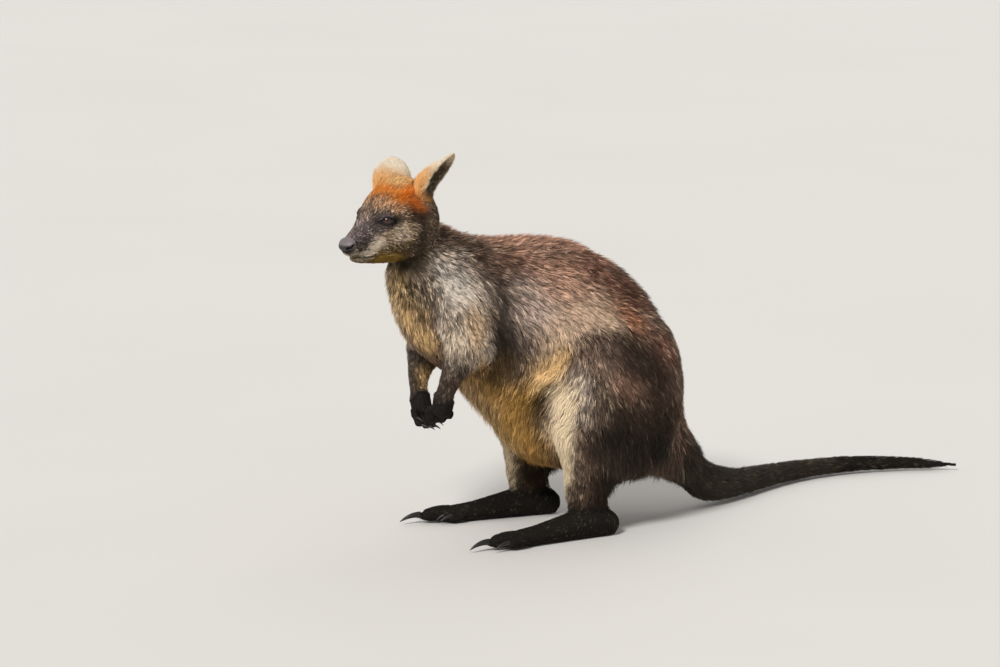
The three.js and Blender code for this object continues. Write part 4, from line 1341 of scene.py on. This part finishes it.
# %% Values that a mesh carries
def carry(mesh, name, values):
    """Stores a number or a colour at each point of the mesh."""
    if values.ndim == 1:
        layer = mesh.attributes.new(name, "FLOAT", "POINT")
        layer.data.foreach_set("value", values.astype(np.float32))
    else:
        layer = mesh.attributes.new(name, "FLOAT_COLOR", "POINT")
        opaque = np.ones((len(values), 1))
        layer.data.foreach_set("color", np.hstack([values, opaque]).astype(np.float32).ravel())


carry(skin_mesh, "marking", skin_paint)
carry(skin_mesh, "bare", np.clip(bare + 0.5 * hollow, 0, 1))
carry(skin_mesh, "lid", lids)

# %% [markdown]
# ## Skin finish
#
# Between the hairs one sees the dense dull underfur, a little darker than the hair tips and
# streaked by them. Where there is no hair, on lids, lips and soles, the skin is black and finely
# pebbled, and slightly moist at the lids.

# %% Skin material
skin_finish = Finish("wallaby_skin", Specular_IOR_Level=0.2)
under_grain = skin_finish.noise(420, 4.0)
pebbles = skin_finish.cells(900)
marking = skin_finish.carried("marking", "Color")
bare_share = skin_finish.carried("bare")
lid_share = skin_finish.carried("lid")
underfur = skin_finish.brighten(marking, under_grain.step(0.3, 0.7) * 0.7 + 0.55)
bare_skin = skin_finish.blend(pebbles.step(0.0, 0.6), linear(11, 9, 9), linear(28, 24, 24))
skin_finish.feed("Base Color", skin_finish.blend(bare_share, underfur, bare_skin))
skin_finish.feed("Roughness", 0.85 - lid_share * 0.3)
skin_finish.bump(under_grain * (1 - bare_share) + pebbles * bare_share * 0.5, 0.0006, 0.6)
under_coat = [name for name in part_names if name != "nose"]
shown("skin", skin_mesh, skin_finish, under_coat)

# %% [markdown]
# ## The eyes
#
# A wallaby's eye is a dark moist ball of which the lids show an almond. The clear cornea stands a
# little proud in front. Each ball is a sphere whose pole looks out of the slit, so that pupil and
# iris are rings round it: every point carries its angle from the gaze.

# %% Eye finish
eye_finish = Finish("wallaby_eye", Roughness=0.04, Specular_IOR_Level=0.15,
                    Coat_Weight=1.0, Coat_Roughness=0.02)
gaze = eye_finish.carried("gaze")
iris_spokes = eye_finish.noise(700, 4.0)
iris = eye_finish.blend(iris_spokes.step(0.35, 0.65), linear(44, 21, 17), linear(80, 38, 28))
iris = eye_finish.blend(gaze.step(0.32, 0.46), iris, linear(12, 7, 7))
in_pupil = eye_finish.blend(gaze.step(0.12, 0.24), linear(8, 6, 10), iris)
# The rear of the ball is pale grey-blue: the haw with a painted glint on it.
ball_colour = eye_finish.blend(eye_finish.carried("haw"), in_pupil, linear(74, 72, 80))
eye_finish.feed("Base Color", ball_colour)

# %% Eyeballs
BALL_BEHIND_LIDS = 0.5
CORNEA_SWELL = 0.09
CORNEA_ANGLE = 0.55
for side_name, mirror in SIDES.items():
    eye_name = "eye_" + side_name
    look_way = Vector((LOOK * mirror) @ head_axes)
    ball_centre = Vector(from_head((EYE_PLACE - LOOK * BALL_BEHIND_LIDS) * mirror))
    aimed = look_way.to_track_quat("Z", "Y").to_matrix().to_4x4()
    bm = bmesh.new()
    bmesh.ops.create_uvsphere(bm, u_segments=48, v_segments=32, radius=EYE_RADIUS * MM)
    angles = [vert.co.angle(Vector((0, 0, 1))) for vert in bm.verts]
    for vert, angle in zip(bm.verts, angles):
        vert.co *= 1 + CORNEA_SWELL * math.exp(-(angle / CORNEA_ANGLE) ** 2)
    bmesh.ops.transform(bm, matrix=aimed, verts=bm.verts)
    bmesh.ops.translate(bm, verts=bm.verts, vec=ball_centre)
    # The haw at the rear corner, with a painted glint.
    rear = Vector(-(level_line * 0.86 + lid_rise * 0.25) * mirror @ head_axes)
    haw = np.array([rear.dot((vert.co - ball_centre).normalized()) for vert in bm.verts])
    eye_mesh = mesh_of(bm, eye_name)
    carry(eye_mesh, "gaze", np.array(angles))
    carry(eye_mesh, "haw", smooth_step(haw, 0.42, 0.56))
    shown("ball_" + eye_name, eye_mesh, eye_finish, [eye_name])


# %% [markdown]
# ## The nose
#
# The nose is a pad of bare black leather, finely pebbled and faintly moist, with a comma-shaped
# nostril on each side and a groove down the middle. The CAD pad is remeshed finely and smoothed,
# and the nostrils are pressed in along short curved paths, each with a raised rim.

# %% Nose pad
NOSE_VOXEL = 0.0006
LEATHER = 0.3 * MM
BEVEL = np.array([0.64, 0.77])
nose_mesh = with_modifier(merged(["nose"]), "REMESH", mode="VOXEL", voxel_size=NOSE_VOXEL)
nose_ends = edge_ends(nose_mesh)
nose_points = blurred(read_points(nose_mesh), nose_ends, 14)
write_points(nose_mesh, nose_points)
nose_normals = blurred(read_points(nose_mesh, "vector"), nose_ends, 3)
nose_points += nose_normals * LEATHER
nose_spots = on_head(nose_points)
front = nose_spots[:, 1].max()
nose_spots[:, 1] = front - 0.9 - (front - nose_spots[:, 1]) * 1.15
over_bevel = np.maximum((nose_spots[:, 1:] - nose_middle[1:]) @ BEVEL - 6.5, 0)
nose_spots[:, 1:] -= over_bevel[:, None] * 0.6 * BEVEL
nose_up = nose_spots[:, 2]
from_nostril = nostril_distance(nose_spots)
push = -4.0 * bell(from_nostril, 2.5, 4) + 0.7 * bell(from_nostril - 4.2, 1.2)
push -= 0.8 * bell(nose_spots[:, 0], 0.8) * smooth_step(-nose_up, 26, 33)
nose_points = from_head(nose_spots) + nose_normals * push[:, None] * MM
write_points(nose_mesh, blurred(nose_points, nose_ends, 2, 0.35))
# Painted shade: the underside of the pad goes dark with the nostrils, through the same value.
painted_underside_shade = 0.6 * smooth_step(-nose_up, 32.5, 35)
carry(nose_mesh, "nostril", np.maximum(bell(from_nostril, 3.6, 4), painted_underside_shade))
# Painted highlight: the top of the pad carries a share that lightens it.
carry(nose_mesh, "upper", smooth_step(nose_up, -31.5, -27.5))

nose_finish = Finish("nose_leather")
nose_pebbles = nose_finish.cells(1500)
nose_clouds = nose_finish.noise(160, 3.0)
leather = nose_finish.blend(nose_clouds.step(0.35, 0.65), linear(28, 24, 23), linear(42, 37, 37))
# Painted sheen: the top of the pad is blended towards pale lilac-grey.
leather = nose_finish.blend(nose_finish.carried("upper") * 0.75, leather, linear(140, 127, 129))
leather = nose_finish.blend(nose_pebbles.step(0.35, 0.75) * 0.4, leather, linear(40, 35, 36))
# Nostrils and the painted shade under the pad, near-black.
nostril_and_painted_shade = nose_finish.carried("nostril").step(0.25, 0.9)
nose_finish.feed("Base Color", nose_finish.blend(nostril_and_painted_shade, leather, linear(10, 8, 9)))
nose_finish.feed("Roughness", 0.36 + nose_clouds * 0.2)
nose_finish.bump(1 - nose_pebbles, 0.0004, 0.5)
shown("nose_pad", nose_mesh, nose_finish, ["nose"])

# %% [markdown]
# ## The claws
#
# Long dark horn on the hind toes and short curved hooks on the fingers. Each starts as a cone that
# is subdivided along its length, bent down towards the tip, pinched at the sides and laid from
# root to tip of its CAD node. The root runs on into the digit, so no gap opens under the hair.

# %% Claw finish
claw_finish = Finish("claw_horn")
horn_along = claw_finish.carried("along")
horn_streaks = claw_finish.noise(900, 3.0)
horn = claw_finish.blend(horn_along.step(0.45, 1.0), linear(26, 22, 20), linear(50, 44, 40))
horn = claw_finish.blend(horn_streaks.step(0.4, 0.65) * 0.5, horn, linear(18, 15, 14))
claw_finish.feed("Base Color", horn)
claw_finish.feed("Roughness", 0.3 + horn_streaks * 0.25)
claw_finish.bump(horn_streaks, 0.0003, 0.4)


# %% One claw
def claw_frame(name, limb_name):
    """Root, tip and root radius of a CAD claw: the root is the end nearer to its limb."""
    spots = read_points(merged([name]))
    middle = spots.mean(0)
    axis = np.linalg.svd(spots - middle, full_matrices=False)[2][0]
    reach = (spots - middle) @ axis
    off_axis = np.linalg.norm(spots - middle - reach[:, None] * axis, axis=1)
    if (middle - box_centre(limb_name)) @ axis < 0:
        axis, reach = -axis, -reach
    return middle + axis * reach.min(), middle + axis * reach.max(), off_axis.max()


def add_rod(bm, cuts, **shape):
    """Adds a cone one unit long and cuts it along its length."""
    bmesh.ops.create_cone(bm, depth=1.0, **shape)
    edges = [edge for edge in bm.edges if abs(edge.verts[0].co.z - edge.verts[1].co.z) > 0.5]
    bmesh.ops.subdivide_edges(bm, edges=edges, cuts=cuts)


def side_and_up(way):
    """Two directions across a way, the first of them level."""
    side = way.cross(Vector((0, 0, 1))).normalized()
    return side, side.cross(way)


def bent_claw(name, limb_name, sunk):
    """A mesh of one claw from root to tip, and how far along it each point is."""
    root, tip, radius = claw_frame(name, limb_name)
    way = Vector(tip - root).normalized()
    root = Vector(root) - way * sunk
    reach = (Vector(tip) - root).length
    side, up = side_and_up(way)
    bm = bmesh.new()
    add_rod(bm, 9, cap_ends=True, segments=14, radius1=1.0, radius2=0.5)
    shares = []
    for vert in bm.verts:
        share = vert.co.z + 0.5
        girth = math.hypot(vert.co.x, vert.co.y)
        swell = radius * max((1 - share) ** 0.6, 0.08)
        arch = radius * 2.4 * share * (1 - share)
        across = vert.co.x / girth * swell * 0.78
        rise = vert.co.y / girth * swell + arch
        shares.append(share)
        vert.co = root + way * (share * reach) + side * across + up * rise
    bmesh.ops.recalc_face_normals(bm, faces=bm.faces)
    return mesh_of(bm, name), shares


# %% Claws of each limb
CLAW_SUNK = {"hand": 2.5, "foot": 3.0}
for limb, sunk in CLAW_SUNK.items():
    for side_name in SIDES:
        limb_name = f"{limb}_{side_name}"
        names = [name for name in nodes if name.startswith("claw_" + limb_name)]
        meshes, shares = zip(*(bent_claw(name, limb_name, sunk * MM) for name in names))
        claw_mesh = mesh_of(opened(*meshes), "claws_" + limb_name)
        carry(claw_mesh, "along", np.concatenate(shares))
        shown(claw_mesh.name, claw_mesh, claw_finish, names)


# %% [markdown]
# ## Whiskers, brow hairs and lashes
#
# They are single stiff hairs, far thicker than fur. Each is a three-sided cone cut along its length
# and bent, with its root in the skin. One loop adds them in rows on the upper lip, a few over the
# brow and a row of lashes on the upper lid, the same on both sides. Known fault: each new hair is
# bent together with all the hairs before it, which shrinks those to specks beside the right eye,
# so only the last lash keeps its shape.

# %% Stiff hairs
HAIR_SUNK = 1.5
whisker_finish = Finish("whisker_hair", Roughness=0.5)
whisker_tone = whisker_finish.noise(300, 2.0)
horn_black = whisker_finish.blend(whisker_tone, linear(20, 16, 14), linear(52, 43, 37))
whisker_finish.feed("Base Color", horn_black)
stiff_draw = np.random.default_rng(7)


def tree_of(places, numbers):
    """A search tree over these of the places."""
    tree = KDTree(len(numbers))
    for number in numbers:
        tree.insert(places[number], number)
    tree.balance()
    return tree


skin_tree = tree_of(points, range(len(points)))


def stiff_hair(bm, place, way, reach, droop):
    """Adds one cone and bends what bm holds. Place and way are on the head's ruler, reach in mm."""
    root = Vector(points[skin_tree.find(from_head(place))[1]])
    way = Vector(unit(*(way + stiff_draw.normal(0, 0.07, 3))) @ head_axes)
    side, up = side_and_up(way)
    add_rod(bm, 6, segments=3, radius1=0.24, radius2=0.04)
    for vert in bm.verts:
        share = vert.co.z + 0.5
        offset = side * vert.co.x + up * (vert.co.y - droop * reach * share ** 2)
        vert.co = root + (way * (share * reach - HAIR_SUNK) + offset) * MM


bm = bmesh.new()
for mirror in SIDES.values():
    for row, place in enumerate(WHISKER_ROOTS):
        reach = 20 + 4 * (row % 4) + stiff_draw.uniform(-3, 3)
        way = np.array([0.85, -0.25, -0.05 - 0.012 * row])
        stiff_hair(bm, place * mirror, way * mirror, reach, 0.28)
    for step in range(4):
        place = np.array([17 + 3 * step, 6 - step, 14])
        stiff_hair(bm, place * mirror, np.array([0.45, 0.25, 0.75]) * mirror, 17, 0.25)
    for step in range(9):
        along = -5.5 + 1.3 * step
        place = EYE_PLACE + (LOOK * 0.93 + lid_rise * 0.36) * EYE_RADIUS + level_line * along
        way = LOOK * 0.8 + lid_rise * 0.25 - level_line * 0.25
        stiff_hair(bm, place * mirror, way * mirror, 5.0, 0.2)
shown("whiskers", mesh_of(bm, "whiskers"), whisker_finish)

# %% [markdown]
# ## Planting the coat
#
# One lock is a slender spindle with three sides: a root, a waist and a tip, made once and then
# stretched, bent and set at each root as a joined mesh. Roots are spread over the skin by each
# triangle's area and crowd. The waist and the tip are set at a height over the skin nearest to
# them, so that a lock hugs the body round any curve, and the tips end where the CAD surface is.

# %% The model lock
WAIST = 0.38
CLEAR_OF_FLOOR = 0.0002
TIP_OVER_FLOOR = 0.0003
ROOT_SUNK = 0.0006
bm = bmesh.new()
bmesh.ops.create_uvsphere(bm, u_segments=3, v_segments=2, radius=1)
lock_model = np.array([vert.co for vert in bm.verts])
lock_faces = np.array([[vert.index for vert in face.verts] for face in bm.faces])
bm.free()
LOCK_POINTS = len(lock_model)
root_end = int(lock_model[:, 2].argmin())
tip_end = int(lock_model[:, 2].argmax())
waist_ring = [number for number in range(LOCK_POINTS) if number not in (root_end, tip_end)]
print("one lock has", LOCK_POINTS, "points and", len(lock_faces), "faces")


def held_over_skin(places, heights):
    """Each place moved to this height over the nearest skin point, and that point's number."""
    nearest = np.array([skin_tree.find(place)[1] for place in places.tolist()])
    rise = ((places - points[nearest]) * skin_normals[nearest]).sum(1)
    held = places + skin_normals[nearest] * (heights - rise)[:, None]
    held[:, 2] = np.maximum(held[:, 2], TIP_OVER_FLOOR)
    return held, nearest


# %% Roots
# The thinning keeps the whole coat just under a million and a half triangles.
THINNING = 0.915
MOST_LOCKS = 33000
COAT_PIECES = {
    "head": ("head", "jaw", "nose"), "ears": ("ear",), "neck": ("neck",), "chest": ("chest",),
    "rump": ("rump",), "thighs": ("thigh",), "legs": ("shank", "foot"),
    "arms": ("upper_arm", "forearm", "hand"), "tail": ("tail_base", "tail_middle", "tail_tip"),
}
first_corner, second_corner, third_corner = points[triangles].transpose(1, 0, 2)
crossed = np.cross(second_corner - first_corner, third_corner - first_corner)
face_area = np.linalg.norm(crossed, axis=1) / 2
expected = face_area * 1e4 * crowd[triangles].mean(1) * THINNING
on_left = points[triangles].mean(1)[:, 0] > body_middle
face_kind = np.array([*kinds, "ear", "ear"])[face_part]
coat_draw = np.random.default_rng(41)


def roots_on(chosen):
    """Root faces and weights of their corners, spread over the chosen faces."""
    amounts = np.where(chosen, expected, 0)
    count = min(int(amounts.sum()), MOST_LOCKS)
    running = np.cumsum(amounts) / amounts.sum()
    marks = (np.arange(count) + coat_draw.random(count)) / count
    faces = np.searchsorted(running, marks).clip(0, len(amounts) - 1)
    first = np.sqrt(coat_draw.random(count))
    second = coat_draw.random(count)
    corners = np.stack([1 - first, first * (1 - second), first * second], 1)
    return faces, corners


# %% Locks
PATCH_HALF = 0.0015
SWAY_PATCH = 0.022


def clump_leaders(root, clump):
    """For every root, the number of the root that leads its clump of so many locks."""
    leaders = coat_draw.permutation(len(root))[:len(root) // clump]
    tree = tree_of(root, leaders.tolist())
    return np.array([tree.find(place)[1] for place in root.tolist()])


def plant(mixed, root, leader):
    """Points, upward directions and marking of a lock at every root. Clumps lean together."""
    count = len(root)

    def drawn(low, high):
        return coat_draw.uniform(low, high, count)

    def strayed(amount):
        return coat_draw.normal(0, amount, count)

    normal = unit_rows(mixed(skin_normals))
    way = in_surface(mixed(lie), normal)
    reach = mixed(length) * MM * drawn(0.62, 1.18)
    half_width = mixed(width) * MM * drawn(0.32, 0.6)
    height = mixed(coat_depth) * MM * drawn(0.55, 1.1) * drawn(0.8, 1.15)[leader]
    straight = 1 - 0.5 * smooth_step(reach, 14 * MM, 26 * MM)
    sway = wander(root, SWAY_PATCH, 12) * 0.18 + strayed(0.12)[leader] + strayed(0.07)
    sway *= straight
    way = way * np.cos(sway)[:, None] + np.cross(normal, way) * np.sin(sway)[:, None]
    side = np.cross(normal, way)
    bend = reach * (strayed(0.09) * straight)
    tip = root + way * reach[:, None] - side * bend[:, None]
    together = drawn(0.1, 0.6) * ((normal * normal[leader]).sum(1) > 0.7)
    tip += (tip[leader] - tip) * together[:, None]
    waist = root + (tip - root) * WAIST + side * (bend * 0.4)[:, None]
    waist, under_waist = held_over_skin(waist, height * drawn(0.4, 0.7))
    tip, under_tip = held_over_skin(tip, height)
    marking = (skin_paint[under_waist] + skin_paint[under_tip]) / 2
    placed = np.empty((count, LOCK_POINTS, 3))
    placed[:, root_end] = root - normal * ROOT_SUNK
    placed[:, tip_end] = tip
    upright = np.repeat(normal[:, None], LOCK_POINTS, axis=1)
    for number in waist_ring:
        across, lift = lock_model[number, :2]
        aside = side * (half_width * across)[:, None]
        placed[:, number] = waist + aside + normal * (half_width * lift * 0.7)[:, None]
        upright[:, number] = 0.6 * normal + 0.4 * (side * across + normal * lift)
    placed[:, :, 2] = np.maximum(placed[:, :, 2], CLEAR_OF_FLOOR)
    return placed, unit_rows(upright), marking


def root_map(faces, mixed):
    """A small patch of the baking map for every lock, at its root's turn and reach."""
    turn, reach = mixed(skin_turn), mixed(skin_reach)
    turn[np.ptp(skin_turn[triangles[faces]], axis=1) > 0.5] = 0.001
    kinds_here, column = np.unique(face_part[faces], return_inverse=True)
    turn = (column + 0.02 + 0.96 * turn) / len(kinds_here)
    at_root = 0.004 + 0.992 * np.stack([turn, reach], 1)
    patch = np.zeros((LOCK_POINTS, 2))
    patch[root_end] = (0, -1)
    patch[tip_end] = (0, 1)
    for number in waist_ring:
        patch[number] = (lock_model[number, 0] * 1.15, -0.15 + 0.3 * lock_model[number, 1])
    return at_root[:, None] + patch * PATCH_HALF


def lock_piece(name, faces, corners, finish, clump):
    """One joined piece of the coat, with a lock on each root."""
    def mixed(values):
        """Values at the skin's points, mixed at the roots inside its triangles."""
        return np.einsum("nk,nk...->n...", corners, values[triangles[faces]])

    root = mixed(points)
    count = len(root)
    leader = clump_leaders(root, clump)
    placed, upright, marking = plant(mixed, root, leader)
    mesh = bpy.data.meshes.new(name)
    mesh.vertices.add(count * LOCK_POINTS)
    mesh.vertices.foreach_set("co", placed.astype(np.float32).ravel())
    starts = np.arange(0, count * LOCK_POINTS, LOCK_POINTS)
    corner_points = (starts[:, None, None] + lock_faces).astype(np.int32).ravel()
    mesh.loops.add(len(corner_points))
    mesh.loops.foreach_set("vertex_index", corner_points)
    mesh.polygons.add(count * len(lock_faces))
    mesh.polygons.foreach_set("loop_start", np.arange(0, len(corner_points), 3, dtype=np.int32))
    shade_smooth(mesh)
    mesh.update(calc_edges=True)
    mesh.normals_split_custom_set_from_vertices(upright.reshape(-1, 3).tolist())
    deep = smooth_step(mixed(coat_depth), 1.5, 6.0)
    lifted = marking * (0.86 + 0.22 * deep)[:, None]
    most = coat_draw.uniform(0.84, 0.97, count) / lifted.max(1)
    shared = 0.3 if clump < 5 else 0.5
    shade = (1 - shared) * coat_draw.random(count) + shared * coat_draw.random(count)[leader]
    carried = {"marking": lifted, "most": most, "grizzle": mixed(grizzle), "shade": shade,
               "tick": coat_draw.random(count)}
    for value_name, values in carried.items():
        carry(mesh, value_name, np.repeat(values, LOCK_POINTS, axis=0))
    stations = np.full(LOCK_POINTS, WAIST)
    stations[root_end] = 0
    stations[tip_end] = 1
    carry(mesh, "along", np.tile(stations, count))
    lay_map(mesh, root_map(faces, mixed).reshape(-1, 2)[corner_points])
    return shown(name, mesh, finish)


# %% [markdown]
# ## Hair finish
#
# A grizzled hair is dark at the root, pale near the tip and often black at the very end, and no
# two neighbours match. Each lock carries the marking of the skin under it, how grizzled it is, a
# shade, a tick, the most that it may be brightened and how far along it a point is. The finish
# turns these into one colour.

# %% Hair material
COAT_GAIN = 0.98
hair_finish = Finish("wallaby_hair", Roughness=0.75, Specular_IOR_Level=0.2)
hair_marking = hair_finish.carried("marking", "Color")
hair_grizzle = hair_finish.carried("grizzle")
hair_shade = hair_finish.carried("shade")
hair_tick = hair_finish.carried("tick")
hair_along = hair_finish.carried("along")
spread = 0.36 + 3.1 * hair_shade ** 2.2
even = 1.25 + 0.5 * hair_shade
gain = even + (spread - even) * hair_grizzle
rooted = 1.05 - (0.45 - hair_along.step(0.0, 0.5) * 0.45) * (0.3 + 0.7 * hair_grizzle)
pale_band = 1 + hair_along.step(0.3, 0.8) * (hair_tick > 0.55) * hair_grizzle * 0.6
dark_tip = 1 - hair_along.step(0.45, 0.95) * (hair_tick < 0.3) * hair_grizzle * 0.55
gain = gain * rooted * pale_band * dark_tip * COAT_GAIN
ashen = hair_shade.step(0.72, 1.0) * hair_grizzle * 0.22
tinted = hair_finish.blend(ashen, hair_marking, linear(196, 178, 150))
gain = gain.at_most(hair_finish.carried("most"))
hair_finish.feed("Base Color", hair_finish.brighten(tinted, gain))

# %% Comb and plant every piece
coat_total = 0
for piece_name, piece_kinds in COAT_PIECES.items():
    chosen = np.isin(face_kind, piece_kinds)
    clump = 3 if piece_name in ("head", "ears") else 8
    halves = {"": chosen}
    if expected[chosen].sum() > MOST_LOCKS:
        halves = {"_left": chosen & on_left, "_right": chosen & ~on_left}
    for half, half_faces in halves.items():
        faces, corners = roots_on(half_faces)
        piece = lock_piece(f"coat_{piece_name}{half}", faces, corners, hair_finish, clump)
        coat_total += len(piece.data.polygons)
print("coat has", coat_total, "triangles, at", seconds(), "s")
